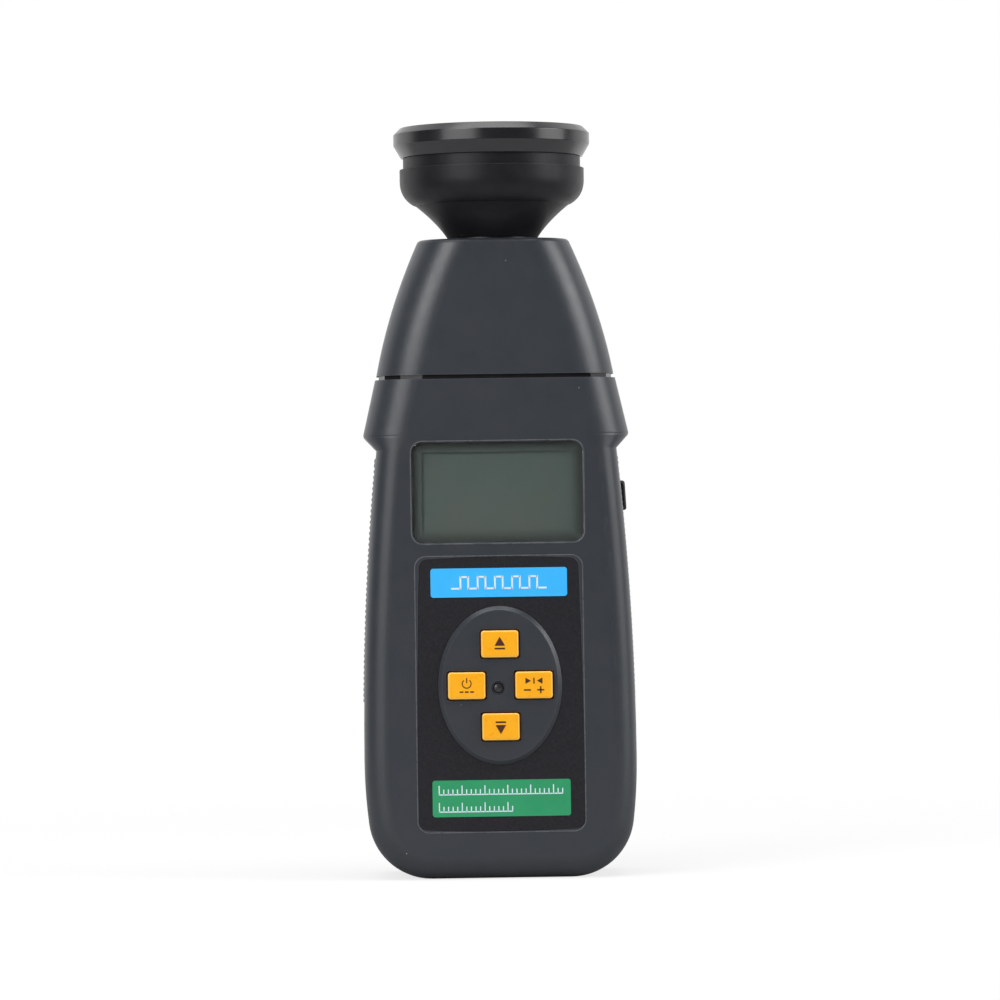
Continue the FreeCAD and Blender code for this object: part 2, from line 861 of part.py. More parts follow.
def collar():
    """Dark collar that joins the nose to the body: a faceted flange in the gap and a spigot each way."""
    flange = prism(faceted_section(body_top_half_width - collar_inset, body_top_half_depth - collar_inset,
                                   shoulder_corner, body_height), collar_gap)
    lower = prism(section_xy(lower_spigot_half_width, lower_spigot_half_depth, shoulder_corner - wall,
                             body_height - collar_lower_length), collar_lower_length)
    upper = prism(section_xy(upper_spigot_half_width, upper_spigot_half_depth, nose_corner - wall,
                             collar_top), collar_upper_length)
    solid = flange.fuse([lower, upper])
    clear_half_width = min(upper_spigot_half_width, lower_spigot_half_width) - collar_wall
    clear_half_depth = min(upper_spigot_half_depth, lower_spigot_half_depth) - collar_wall
    hollow = prism(section_xy(clear_half_width, clear_half_depth, shoulder_corner - wall - collar_wall,
                              body_height - collar_lower_length - 1), far)
    solid = solid.cut(hollow)
    for x, z in nose_screw_places():
        block = box(x - nose_boss_size / 2, x + nose_boss_size / 2, clear_half_depth - nose_boss_depth,
                    clear_half_depth + collar_wall / 2, z - nose_boss_height / 2,
                    z + nose_boss_height / 2 - nose_boss_top_gap)
        solid = solid.fuse(block)
        pilot_start = clear_half_depth - nose_boss_depth - 1
        solid = solid.cut(rod(case_screw_radius + pilot_clearance, x, pilot_start, z, AXIS_Y, far))
    keep("joint_collar", solid.removeSplitter())


def nose_cap():
    """Tapered nose housing, open below, with a hole for the lamp neck in its top."""
    outer = nose_block(0, collar_top, nose_height)
    outer = outer.makeFillet(nose_rim_radius, edges_on_plane(outer, 2, nose_height))
    inner = nose_block(wall, collar_top - 1, nose_height - nose_top_wall)
    solid = outer.cut(inner)
    holes = [rod(neck_radius + slip, 0, 0, nose_height - nose_top_wall - 1, AXIS_Z, nose_top_wall + 2)]
    for x, z in nose_screw_places():
        seat = nose_bottom_half_depth - nose_screw_sink
        holes.append(rod(case_screw_radius + pilot_clearance * 2, x, 0, z, AXIS_Y, far))
        holes.append(rod(case_screw_head + counterbore_clearance, x, seat, z, AXIS_Y, far))
    keep("nose_cap", solid.cut(holes))


def lamp_housing():
    """Bell, cone and threaded neck, turned about the lamp axis."""
    cone_middle = ((cone_low_radius + cone_high_radius) / 2 - cone_hollow, washer_top + cone_height / 2, 0)
    curve_low = cone_high_radius + bell_lip
    curve_middle = ((curve_low + bell_radius) / 2 + bell_curve_out,
                    (bell_low + bell_band_low) / 2 - bell_curve_down, 0)
    inner = bell_radius - bell_wall
    throat = thread_radius - thread_wall
    points = [
        (neck_bore, washer_top - neck_length),
        (neck_radius, washer_top - neck_length),
        (neck_radius, washer_top),
        (cone_low_radius, washer_top),
        cone_middle,
        (cone_high_radius, bell_low),
        (curve_low, bell_low),
        curve_middle,
        (bell_radius, bell_band_low),
        (bell_radius, bell_top - bell_edge),
        (bell_radius - bell_edge, bell_top),
        (groove_radius, bell_top),
        (groove_radius, ring_seat),
        (thread_radius, ring_seat),
        (thread_radius, bell_rim),
        (reflector_rim + slip, bell_rim),
        (reflector_rim + slip, bell_rim - reflector_seat),
        (throat, bell_rim - reflector_seat),
        (throat, bell_top),
        (inner, bell_top - bell_inner_slope),
        (inner, bell_band_low),
        (cone_high_radius - bell_wall, bell_low + cone_inner_rise),
        (socket_radius, lamp_floor + socket_depth),
        (socket_radius, lamp_floor),
        (neck_bore, lamp_floor),
    ]
    keep("lamp_housing", turned(points))
    keep("neck_washer", turned([(neck_radius + slip, nose_height), (washer_radius, nose_height),
                                (washer_radius, washer_top), (neck_radius + slip, washer_top)]))
    corners = []
    for step in range(7):
        angle = math.radians(60 * step)
        corners.append(Vector(nut_radius * math.cos(angle), nut_radius * math.sin(angle), nut_bottom))
    nut = prism(Part.makePolygon(corners), nut_height)
    nut = nut.cut(rod(neck_radius + pilot_clearance, 0, 0, nut_bottom - 1, AXIS_Z, nut_height + 2))
    keep("lamp_nut", nut)


def lens_ring():
    """Screw ring with its lens and gasket."""
    bore = thread_radius + thread_clearance
    keep("lens_ring", turned([
        (bore, ring_seat),
        (ring_foot_radius, ring_seat),
        (ring_radius, ring_seat + ring_foot_height),
        (ring_radius, ring_top - ring_bevel),
        (ring_radius - ring_bevel, ring_top),
        (ring_lip_radius + ring_lip_bevel, ring_top),
        (ring_lip_radius, ring_top - ring_lip_bevel),
        (ring_lip_radius, lens_top),
        (bore, lens_top),
    ]))
    lens_radius = thread_radius - slip
    keep("lens", rod(lens_radius, 0, 0, lens_bottom, AXIS_Z, lens_thickness))
    keep("lens_gasket", turned([(reflector_rim + slip, bell_rim), (lens_radius, bell_rim),
                                (lens_radius, lens_bottom), (reflector_rim + slip, lens_bottom)]))


def reflector_and_tube():
    """Bowl, flash tube, electrodes, trigger wire and lamp base."""
    flange_z = bell_rim - reflector_seat
    rim_z = flange_z + reflector_wall
    focal = reflector_mouth ** 2 / (4 * reflector_depth)
    vertex = rim_z - reflector_depth

    def bowl(r, drop=0.0):
        return vertex + r * r / (4 * focal) - drop

    middle_r = (reflector_mouth + reflector_hole) / 2
    base_top = lamp_floor + socket_depth
    outer_hole = reflector_hole + reflector_wall
    points = [
        (reflector_hole, base_top),
        (outer_hole, base_top),
        (outer_hole, bowl(outer_hole, reflector_wall)),
        (middle_r + reflector_wall_out, bowl(middle_r, reflector_wall_down), 0),
        (reflector_mouth, flange_z),
        (reflector_rim, flange_z),
        (reflector_rim, rim_z),
        (reflector_mouth, rim_z),
        (middle_r, bowl(middle_r), 0),
        (reflector_hole, bowl(reflector_hole)),
    ]
    keep("reflector", turned(points))
    half = tube_leg_spacing / 2
    foot = base_top - tube_socket_depth
    base = rod(socket_radius - slip, 0, 0, lamp_floor, AXIS_Z, socket_depth)
    for side in (-1, 1):
        base = base.cut(rod(tube_radius + slip / 2, side * half, 0, foot, AXIS_Z, far))
        base = base.cut(rod(electrode_radius + pilot_clearance, side * half, 0, lamp_floor - 1, AXIS_Z, far))
    base = base.cut(rod(electrode_radius + pilot_clearance, 0, trigger_lead_y, lamp_floor - 1, AXIS_Z, far))
    keep("lamp_base", base)

    def bent_tube(radius, low):
        leg = tube_leg_length + base_top - low
        top = low + leg
        shape = Part.makeTorus(half, radius, Vector(0, 0, top), AXIS_Y)
        shape = shape.common(box(-far, far, -far, far, top, top + far))
        for side in (-1, 1):
            shape = shape.fuse(rod(radius, side * half, 0, low, AXIS_Z, leg))
        return shape.removeSplitter()

    glass = bent_tube(tube_radius, foot).cut(bent_tube(tube_radius - tube_glass, foot + tube_seal))
    pins = []
    for side in (-1, 1):
        glass = glass.cut(rod(electrode_radius, side * half, 0, foot - 1, AXIS_Z, tube_seal + 2))
        head_z = foot + tube_seal + electrode_gap
        pin = rod(electrode_radius, side * half, 0, lamp_floor, AXIS_Z, head_z - lamp_floor)
        pins.append(pin.fuse(rod(electrode_head, side * half, 0, head_z, AXIS_Z, electrode_head_length)))
    keep("flash_tube", glass)
    keep("tube_electrodes", *pins)
    turn_radius = tube_radius + trigger_wire_radius + slip / 2
    keep("trigger_wire", coil(half, 0, base_top + trigger_rise, turn_radius, trigger_pitch, trigger_turns,
                              trigger_wire_radius))


def lamp_leads():
    """Three insulated wires from the lamp base down the neck to the terminals on the power board."""
    half = tube_leg_spacing / 2
    top = lamp_floor - slip
    block_top = power_board_top - terminal_gap
    block_y = power_board_back + terminal_depth / 2
    ends = {
        "anode_lead": (half, 0.0, terminal_x + terminal_pitch),
        "cathode_lead": (-half, 0.0, terminal_x - terminal_pitch),
        "trigger_lead": (0.0, trigger_lead_y, terminal_x),
    }
    for name, (x, y, end_x) in ends.items():
        points = [
            (x, y, top),
            (x, y, washer_top - neck_length - lead_exit_drop),
            (end_x, block_y, block_top + lead_clear_drop),
            (end_x, block_y, block_top),
        ]
        keep(name, round_wire(wire_route(points), lead_radius))
    half_width = 1.5 * terminal_pitch
    keep("lamp_terminals", box(terminal_x - half_width, terminal_x + half_width, power_board_back,
                               power_board_back + terminal_depth, block_top - terminal_height, block_top))


def display():
    """Window, liquid crystal glass, frame and zebra strips, stacked onto the main board."""
    half_w = window_width / 2
    half_h = window_height / 2
    face = -body_half_depth + window_inset
    window = plate_xz(half_w, half_h, window_corner, face, face + window_thickness, 0, window_centre)
    keep("display_window", window)
    glass_w = half_w - window_margin + lcd_overlap
    glass_h = half_h - window_margin + lcd_overlap
    glass_back = inner_front + lcd_thickness
    keep("display_glass", box(-glass_w, glass_w, inner_front, glass_back,
                              window_centre - glass_h, window_centre + glass_h))
    gap = display_clearance
    outer_w = glass_w + gap + lcd_frame_wall
    outer_h = glass_h + gap + lcd_frame_wall
    frame = box(-outer_w, outer_w, inner_front, main_board_front,
                window_centre - outer_h, window_centre + outer_h)
    frame = frame.cut(box(-glass_w - gap, glass_w + gap, inner_front - 1, main_board_front + 1,
                          window_centre - glass_h - gap, window_centre + glass_h + gap))
    keep("display_frame", frame)
    strips = []
    for side in (-1, 1):
        z = window_centre + side * (glass_h - zebra_width / 2)
        strips.append(box(-glass_w + zebra_inset, glass_w - zebra_inset, glass_back, main_board_front,
                          z - zebra_width / 2, z + zebra_width / 2))
    keep("zebra_strips", *strips)


def label():
    """Front label with its oval opening, and the two coloured strips on it."""
    sheet = label_outline(0, label_floor - label_thickness, label_floor)
    hole = oval(field_half_width + label_clearance, field_half_height + label_clearance,
                label_floor - 2, label_floor + 2)
    keep("front_label", sheet.cut(hole))
    face = label_floor - label_thickness
    keep("blue_strip", plate_xz(blue_strip_width / 2, blue_strip_height / 2, strip_corner,
                                face - strip_thickness, face, 0, blue_strip_centre))
    keep("green_strip", plate_xz(green_strip_width / 2, green_strip_height / 2, strip_corner,
                                 face - strip_thickness, face, 0, green_strip_centre))


def keys():
    """Four keys, the switch plungers that they press, and the switch bodies on the board."""
    face = field_face - key_rise
    switch_face = main_board_front - switch_height
    plunger_tip = switch_face - plunger_reach
    switches = []
    for name, (x, z) in key_places.items():
        cap = plate_xz(key_width / 2, key_height / 2, key_corner, face, inner_front + slip, x, z)
        cap = cap.makeFillet(key_edge, edges_on_plane(cap, 1, face))
        flange_front = inner_front + slip
        flange = plate_xz(key_width / 2 + key_flange, key_height / 2 + key_flange, key_corner,
                          flange_front, flange_front + key_flange_thickness, x, z)
        stem_back = flange_front + key_flange_thickness
        stem = rod(stem_radius, x, stem_back, z, AXIS_Y, plunger_tip - stem_back)
        keep("button_" + name, cap.fuse([flange, stem]).removeSplitter())
        keep("plunger_" + name, rod(plunger_radius, x, plunger_tip, z, AXIS_Y, plunger_reach + plunger_depth))
        body = box(x - switch_size / 2, x + switch_size / 2, switch_face, main_board_front,
                   z - switch_size / 2, z + switch_size / 2)
        bore = rod(plunger_radius + plunger_clearance, x, switch_face - 1, z, AXIS_Y,
                   1 + plunger_depth + key_travel + plunger_end_gap)
        switches.append(body.cut(bore))
    keep("key_switches", *switches)


def indicator():
    """Small round light between the keys: a dark light pipe and the lamp on the board behind it."""
    face = field_face + indicator_recess - indicator_rise
    back = main_board_front - indicator_lamp_height
    pipe = rod(indicator_radius, indicator_x, face, indicator_z, AXIS_Y, back - face)
    flange = rod(indicator_radius + indicator_flange, indicator_x, inner_front, indicator_z, AXIS_Y,
                 indicator_flange_thickness)
    keep("indicator_pipe", pipe.fuse(flange).removeSplitter())
    lamp = rod(indicator_radius, indicator_x, back, indicator_z, AXIS_Y, indicator_lamp_height)
    keep("indicator_lamp", lamp)


def side_flange_x():
    """Outer face of the side button's flange, just inside the wall where the body is narrowest."""
    flange_top = side_button_centre_z + side_button_height / 2 + side_flange
    return side_half_width(flange_top) - wall - slip


def side_board_x():
    """Back of the side switch, where its board starts."""
    return side_flange_x() - side_flange_thickness - side_plunger_reach - switch_height


def side_button():
    """Push button on the right side, its switch and small board."""
    y = side_button_centre_y
    z = side_button_centre_z
    flange_outer = side_flange_x()
    face = side_half_width(z) + side_button_rise
    half_depth = side_button_depth / 2
    half_height = side_button_height / 2
    cap = plate_yz(half_depth, half_height, side_button_corner, flange_outer, face, y, z)
    bulge_radius = (half_height ** 2 + side_button_bulge ** 2) / (2 * side_button_bulge)
    crown = rod(bulge_radius, face - bulge_radius, -far, z, AXIS_Y, 2 * far)
    cap = cap.common(crown)
    flange_inner = flange_outer - side_flange_thickness
    flange = box(flange_inner, flange_outer, y - half_depth - side_flange, y + half_depth + side_flange,
                 z - half_height - side_flange, z + half_height + side_flange)
    keep("side_button", cap.fuse(flange).removeSplitter())
    board_x = side_board_x()
    switch_face = board_x + switch_height
    plunger_start = switch_face - plunger_depth
    keep("plunger_side", rod(plunger_radius, plunger_start, y, z, AXIS_X, flange_inner - plunger_start))
    half_size = switch_size / 2
    body = box(board_x, switch_face, y - half_size, y + half_size, z - half_size, z + half_size)
    bore_floor = plunger_start - side_button_travel - plunger_end_gap
    body = body.cut(rod(plunger_radius + plunger_clearance, bore_floor, y, z, AXIS_X, far))
    keep("side_switch", body)
    keep("side_board", box(board_x - side_board_thickness, board_x, y - side_board_half_depth,
                           y + side_board_half_depth, z - side_board_half_height, z + side_board_half_height))


def chip(x, y, z, width, height, depth):
    """Block that stands on a board's rear face, centred at x and z."""
    return box(x - width / 2, x + width / 2, y, y + depth, z - height / 2, z + height / 2)


def boards():
    """Main board with its chips, power board with its high-voltage parts, and the connector between them."""
    main = box(-main_board_half_width, main_board_half_width, main_board_front, main_board_back,
               main_board_bottom, main_board_top)
    hole_length = board_thickness + 2
    main = main.cut([rod(board_screw_radius + 2 * slip, x, main_board_front - 1, z, AXIS_Y, hole_length)
                     for x, z in main_screws])
    keep("main_board", main)
    power = box(-power_board_half_width, power_board_half_width, power_board_front, power_board_back,
                power_board_bottom, power_board_top)
    power = power.cut([rod(board_screw_radius + 2 * slip, x, power_board_front - 1, z, AXIS_Y, hole_length)
                       for x, z in power_screws])
    keep("power_board", power)
    keep("microcontroller", chip(0, main_board_back, controller_z, controller_size, controller_size,
                                 controller_height))
    keep("crystal", chip(crystal_x, main_board_back, controller_z, crystal_width, crystal_length,
                         crystal_height))
    keep("board_connector", chip(0, main_board_back, connector_z, connector_width, connector_height,
                                 power_board_front - main_board_back))
    y = power_board_back
    capacitor_z = power_board_top - capacitor_radius - capacitor_gap
    keep("storage_capacitor", rod(capacitor_radius, capacitor_x, y, capacitor_z, AXIS_Y, capacitor_length))
    core = box(-core_width / 2, core_width / 2, y + core_rise, y + core_rise + core_depth,
               core_z - core_height / 2, core_z + core_height / 2)
    window_half = core_window_width / 2
    window_x = core_limb / 2 + window_half
    window_z = core_height / 2 - core_yoke
    windows = [box(side * window_x - window_half, side * window_x + window_half, y, y + bobbin_depth,
                   core_z - window_z, core_z + window_z) for side in (-1, 1)]
    keep("transformer_core", core.cut(windows))
    bobbin_half = window_x + window_half - bobbin_gap
    bobbin = box(-bobbin_half, bobbin_half, y, y + bobbin_depth, core_z - window_z + bobbin_gap,
                 core_z + window_z - bobbin_gap)
    limb = core_limb / 2 + slip
    channel = box(-limb, limb, y + core_rise - slip, y + core_rise + core_depth + slip,
                  core_z - core_height, core_z + core_height)
    keep("transformer_winding", bobbin.cut(channel))
    keep("trigger_coil", rod(trigger_coil_radius, terminal_x, y, power_board_top - trigger_coil_drop, AXIS_Y,
                             trigger_coil_length))
    middle = (diode_count - 1) / 2
    diodes = [chip((index - middle) * diode_pitch, y, core_z - diode_drop, diode_width, diode_length,
                   diode_height) for index in range(diode_count)]
    keep("rectifier_diodes", *diodes)
    screws = []
    for x, z in main_screws:
        screws.append(screw(x, main_board_back, z, AXIS_Y * -1, board_screw_radius, board_screw_length,
                            board_screw_head, board_screw_head_height))
    for x, z in power_screws:
        screws.append(screw(x, power_board_front, z, AXIS_Y, board_screw_radius, board_screw_length,
                            board_screw_head, board_screw_head_height))
    keep("board_screws", *screws)


def case_screws():
    """Four long screws through the body and two short ones through the nose."""
    back = AXIS_Y * -1
    screws = []
    for x, z in case_screw_places():
        seat = body_half_depth - case_screw_sink
        screws.append(screw(x, seat, z, back, case_screw_radius, case_screw_length,
                            case_screw_head, case_screw_head_height))
    for x, z in nose_screw_places():
        seat = nose_bottom_half_depth - nose_screw_sink
        screws.append(screw(x, seat, z, back, case_screw_radius, nose_screw_length,
                            case_screw_head, case_screw_head_height))
    keep("case_screws", *screws)


def battery_bay():
    """Tray, four cells in line, springs, contact plates and leads."""
    half = bay_half_width
    tray = plate_xz(half + tray_wall, bay_length / 2 + tray_wall, tray_corner, tray_front, inner_back,
                    0, (bay_bottom + bay_top) / 2)
    tray = tray.cut(box(-half, half, tray_floor, inner_back + 1, bay_bottom, bay_top))
    centres = [(index - 1.5) * cell_pitch for index in range(4)]
    troughs = [rod(cell_radius + cell_clearance, x, cell_y, bay_bottom, AXIS_Z, bay_length) for x in centres]
    tray = tray.cut(troughs)
    notch_half = hook_width / 2 + hook_side_clearance
    notch_front = inner_back - hook_reach - hook_end_clearance
    notches = [box(x - notch_half, x + notch_half, notch_front, inner_back + 1,
                   bay_bottom - tray_wall - 1, bay_bottom + 1) for x in (-cell_pitch, cell_pitch)]
    keep("battery_tray", tray.cut(notches))
    cells = []
    springs = []
    low_plate = bay_bottom + contact_thickness
    high_plate = bay_top - contact_thickness
    body_length = cell_length - cell_nub_height
    for index, x in enumerate(centres):
        if index % 2 == 0:
            start = low_plate + spring_height
            cell = rod(cell_radius, x, cell_y, start, AXIS_Z, body_length)
            cell = cell.fuse(rod(cell_nub_radius, x, cell_y, start + body_length, AXIS_Z, cell_nub_height))
            spring_low = low_plate
        else:
            cell = rod(cell_radius, x, cell_y, low_plate + cell_nub_height, AXIS_Z, body_length)
            cell = cell.fuse(rod(cell_nub_radius, x, cell_y, low_plate, AXIS_Z, cell_nub_height))
            spring_low = high_plate - spring_height
        cells.append(cell.removeSplitter())
        rise = spring_height - 2 * spring_wire_radius - 2 * slip
        spring_start = spring_low + spring_wire_radius + slip
        springs.append(coil(x, cell_y, spring_start, spring_radius, rise / spring_turns, spring_turns,
                            spring_wire_radius))
    keep("battery_cells", *cells)
    keep("battery_springs", *springs)
    plate_front = tray_floor + slip
    plate_back = plate_front + contact_depth
    reach = contact_reach
    plates = [
        box(centres[0] - reach, centres[1] + reach, plate_front, plate_back, bay_bottom, low_plate),
        box(centres[2] - reach, centres[3] + reach, plate_front, plate_back, bay_bottom, low_plate),
        box(centres[1] - reach, centres[2] + reach, plate_front, plate_back, high_plate, bay_top),
        box(centres[0] - reach, centres[0] + reach, plate_front, plate_back, high_plate, bay_top),
        box(centres[3] - reach, centres[3] + reach, plate_front, plate_back, high_plate, bay_top),
    ]
    keep("battery_plates", *plates)
    start_z = bay_top + tray_wall
    end_x = centres[3] - battery_lead_inset
    end_z = start_z + battery_lead_rise
    for name, side in (("battery_lead_red", 1), ("battery_lead_black", -1)):
        points = [
            (side * centres[3], cell_y, start_z),
            (side * centres[3], cell_y, start_z + battery_lead_exit),
            (side * end_x, cell_y - battery_lead_bend_depth, start_z + battery_lead_bend_rise),
            (side * end_x, power_board_back + battery_lead_landing, end_z),
            (side * end_x, power_board_back, end_z),
        ]
        keep(name, round_wire(wire_route(points), lead_radius))


def battery_door():
    """Door plate with two hooks at its lower edge and a finger grip near its top."""
    half, low, high = door_frame()
    plate = plate_xz(half - door_clearance, (high - low) / 2 - door_clearance, door_corner - door_clearance,
                     body_half_depth - door_thickness, body_half_depth, 0, (low + high) / 2)
    door_low = low + door_clearance
    plate_back = body_half_depth - door_thickness
    hook_back = inner_back - hook_face_clearance
    hook_front = hook_back - hook_thickness
    root_low = door_low + hook_root_rise
    for x in (-cell_pitch, cell_pitch):
        x0 = x - hook_width / 2
        x1 = x + hook_width / 2
        root = box(x0, x1, hook_front, plate_back, root_low, root_low + hook_root_height)
        lip = box(x0, x1, hook_front, hook_back, door_low - hook_drop, root_low)
        plate = plate.fuse([root, lip])
    groove_half = door_groove_length / 2
    groove_floor = body_half_depth - door_groove_depth
    for index in range(door_groove_count):
        z = high - door_groove_drop - index * door_groove_pitch
        plate = plate.cut(box(-groove_half, groove_half, groove_floor, body_half_depth + 1,
                              z - door_groove_width / 2, z + door_groove_width / 2))
    keep("battery_door", plate.removeSplitter())


front_blank, rear_blank = body_shells()
front_shell(front_blank)
rear_shell(rear_blank)
collar()
nose_cap()
lamp_housing()
lens_ring()
reflector_and_tube()
lamp_leads()
display()
label()
keys()
indicator()
side_button()
boards()
case_screws()
battery_bay()
battery_door()

os.makedirs("parts", exist_ok=True)
for node_name, node_shape in nodes.items():
    if not node_shape.isValid():
        print("invalid", node_name)
    node_shape.exportStep(os.path.join("parts", node_name + ".step"))
print(len(nodes), "nodes")
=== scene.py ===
# %% [markdown]
# A handheld xenon stroboscope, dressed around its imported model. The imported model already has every
# working piece at its real size. This script gives each piece its finish, and models again those pieces
# whose looks depend on soft edges, printing or turned gloss. All lengths are in metres.

# %% Load the frame
import math

import bpy
from mathutils import Matrix, Vector


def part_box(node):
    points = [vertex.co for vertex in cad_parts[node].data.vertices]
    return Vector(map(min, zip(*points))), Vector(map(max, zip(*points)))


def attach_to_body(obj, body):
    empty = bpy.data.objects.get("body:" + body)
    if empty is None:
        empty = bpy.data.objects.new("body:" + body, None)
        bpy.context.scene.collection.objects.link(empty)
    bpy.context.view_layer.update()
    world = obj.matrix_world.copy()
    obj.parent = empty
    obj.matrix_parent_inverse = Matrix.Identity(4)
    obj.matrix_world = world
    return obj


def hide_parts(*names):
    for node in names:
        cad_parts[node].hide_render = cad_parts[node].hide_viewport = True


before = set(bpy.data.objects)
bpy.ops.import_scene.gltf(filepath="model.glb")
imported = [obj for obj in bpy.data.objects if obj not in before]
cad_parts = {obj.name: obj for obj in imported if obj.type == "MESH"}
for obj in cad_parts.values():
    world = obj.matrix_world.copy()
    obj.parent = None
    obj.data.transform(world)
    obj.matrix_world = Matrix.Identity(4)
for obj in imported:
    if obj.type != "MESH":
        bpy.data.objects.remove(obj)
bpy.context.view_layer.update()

MM = 0.001
NEAR = MM / 100          # places closer than this count as the same
FACING = 0.9             # a face looks along an axis when its normal has at least this share of it

# %% [markdown]
# Blender's modelling operators act on whatever is selected, and a fresh import leaves everything
# selected. So the first helper clears the selection. close_piece ends each piece: its place is written
# into its mesh, so that the object itself sits at the origin, as the pieces of the frame do, and patterns
# on Object coordinates stay put.


# %% Helpers for pieces
def clear_selection():
    """Leave edit mode and select nothing."""
    if bpy.context.object and bpy.context.object.mode == "EDIT":
        bpy.ops.object.mode_set(mode="OBJECT")
    bpy.ops.object.select_all(action="DESELECT")


def edit(select_all=False):
    """Go into edit mode on the active object."""
    bpy.ops.object.mode_set(mode="EDIT")
    bpy.ops.mesh.select_mode(type="VERT")
    bpy.ops.mesh.select_all(action="SELECT" if select_all else "DESELECT")


def pick(test, kind="FACE"):
    """Select the faces or edges of the active mesh that pass a test, and go back into edit mode."""
    bpy.ops.mesh.select_mode(type=kind)
    bpy.ops.mesh.select_all(action="DESELECT")
    bpy.ops.object.mode_set(mode="OBJECT")
    mesh = bpy.context.object.data
    if kind == "FACE":
        for face in mesh.polygons:
            face.select = bool(test(face.center, face.normal))
    else:
        for edge in mesh.edges:
            a, b = (mesh.vertices[i].co for i in edge.vertices)
            edge.select = bool(test(a, b))
    bpy.ops.object.mode_set(mode="EDIT")


def apply_place():
    """Write the active object's place, turn and scale into its mesh."""
    bpy.ops.object.transform_apply(location=True, rotation=True, scale=True)


def modifier(kind, **values):
    """Add a modifier to the active object, set it and apply it."""
    added = bpy.context.object.modifiers.new(kind.title(), kind)
    for key, value in values.items():
        setattr(added, key, value)
    bpy.ops.object.modifier_apply(modifier=added.name)


def activate(piece):
    """Select one piece and make it the active object."""
    clear_selection()
    piece.select_set(True)
    bpy.context.view_layer.objects.active = piece


def copy_of(piece):
    """Copy of a piece with a mesh of its own."""
    copy = piece.copy()
    copy.data = piece.data.copy()
    bpy.context.scene.collection.objects.link(copy)
    return copy


def join(pieces):
    """Join several objects into the first."""
    activate(pieces[0])
    for piece in pieces[1:]:
        piece.select_set(True)
    bpy.ops.object.join()


def middle(name):
    """Centre of a node's box."""
    low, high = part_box(name)
    return (low + high) / 2


def block(centre, size):
    """Block round a centre, open for edits."""
    clear_selection()
    bpy.ops.mesh.primitive_cube_add(size=1.0, location=centre)
    bpy.context.object.scale = size
    apply_place()
    edit()
    return bpy.context.object


def lone_point(place):
    """Mesh of one point, open for edits."""
    clear_selection()
    bpy.ops.mesh.primitive_plane_add(size=MM, location=place)
    apply_place()
    edit(True)
    bpy.ops.mesh.merge(type="CENTER")
    return bpy.context.object


def pull(move):
    """Extrude the selection and move what was extruded."""
    bpy.ops.mesh.extrude_region_move(TRANSFORM_OT_translate={"value": move})


def round_edges(test, radius, segments, **shape):
    """Bevel the edges that pass a test."""
    pick(test, "EDGE")
    bpy.ops.mesh.bevel(offset=radius, segments=segments, affect="EDGES", **shape)


def at_depth(y):
    """Test for edges that lie at one depth."""
    return lambda a, b: abs(a.y - y) < NEAR and abs(b.y - y) < NEAR


def merge_all():
    """Merge points that lie together, and select everything."""
    bpy.ops.mesh.select_all(action="SELECT")
    bpy.ops.mesh.remove_doubles(threshold=NEAR / 10)
    bpy.ops.mesh.select_all(action="SELECT")


def seal():
    """Merge points that lie together, turn all faces outwards and leave edit mode."""
    merge_all()
    bpy.ops.mesh.normals_make_consistent(inside=False)
    bpy.ops.object.mode_set(mode="OBJECT")


def spin_profile(profile, steps, foot=(0, 0, 0), axis=(0, 0, 1)):
    """Pull a point along an outline of (radius, height) pairs and spin it about an axis through a foot."""
    places = [Vector(foot) + Vector((radius, 0, 0)) + Vector(axis) * height for radius, height in profile]
    spun = lone_point(places[0])
    for here, there in zip(places, places[1:]):
        pull(there - here)
    merge_all()
    bpy.ops.mesh.spin(steps=steps, angle=2 * math.pi, center=foot, axis=axis)
    seal()
    return spun


def close_piece(name, body, slot, smooth=35, replaced=()):
    """Name the active object, shade it, give it its finish, and let it ride on a body of the frame.

    Weighted normals keep the large faces flat, so that a fine bevel only shades itself.
    """
    piece = bpy.context.object
    if piece.mode == "EDIT":
        bpy.ops.object.mode_set(mode="OBJECT")
    apply_place()
    bpy.ops.object.shade_smooth_by_angle(angle=math.radians(smooth))
    modifier("WEIGHTED_NORMAL", mode="FACE_AREA", weight=80, keep_sharp=True)
    piece.name = name
    piece.data.name = name
    piece.data.materials.clear()
    piece.data.materials.append(finishes[slot])
    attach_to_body(piece, body)
    if replaced:
        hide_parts(*replaced)
    clear_selection()
    print(name, len(piece.data.polygons), "faces")


# %% [markdown]
# The photograph was taken from far off with a long lens, level with the display, so the sides hardly
# converge. The object leans a little to the left in it. The camera is rolled by that angle, and the
# object stays upright.

# %% Camera
SENSOR_WIDTH = 36.0
CLIP_START = 0.05
CLIP_END = 20.0
PIXELS_PER_METRE = 3472.0
IMAGE_SIDE = 1000
CAMERA_DISTANCE = 1.5
CAMERA_AIM = Vector((0.0011, 0.0, 0.1078))
CAMERA_TURN = math.radians(-1.2)
CAMERA_ROLL = math.radians(-0.8)

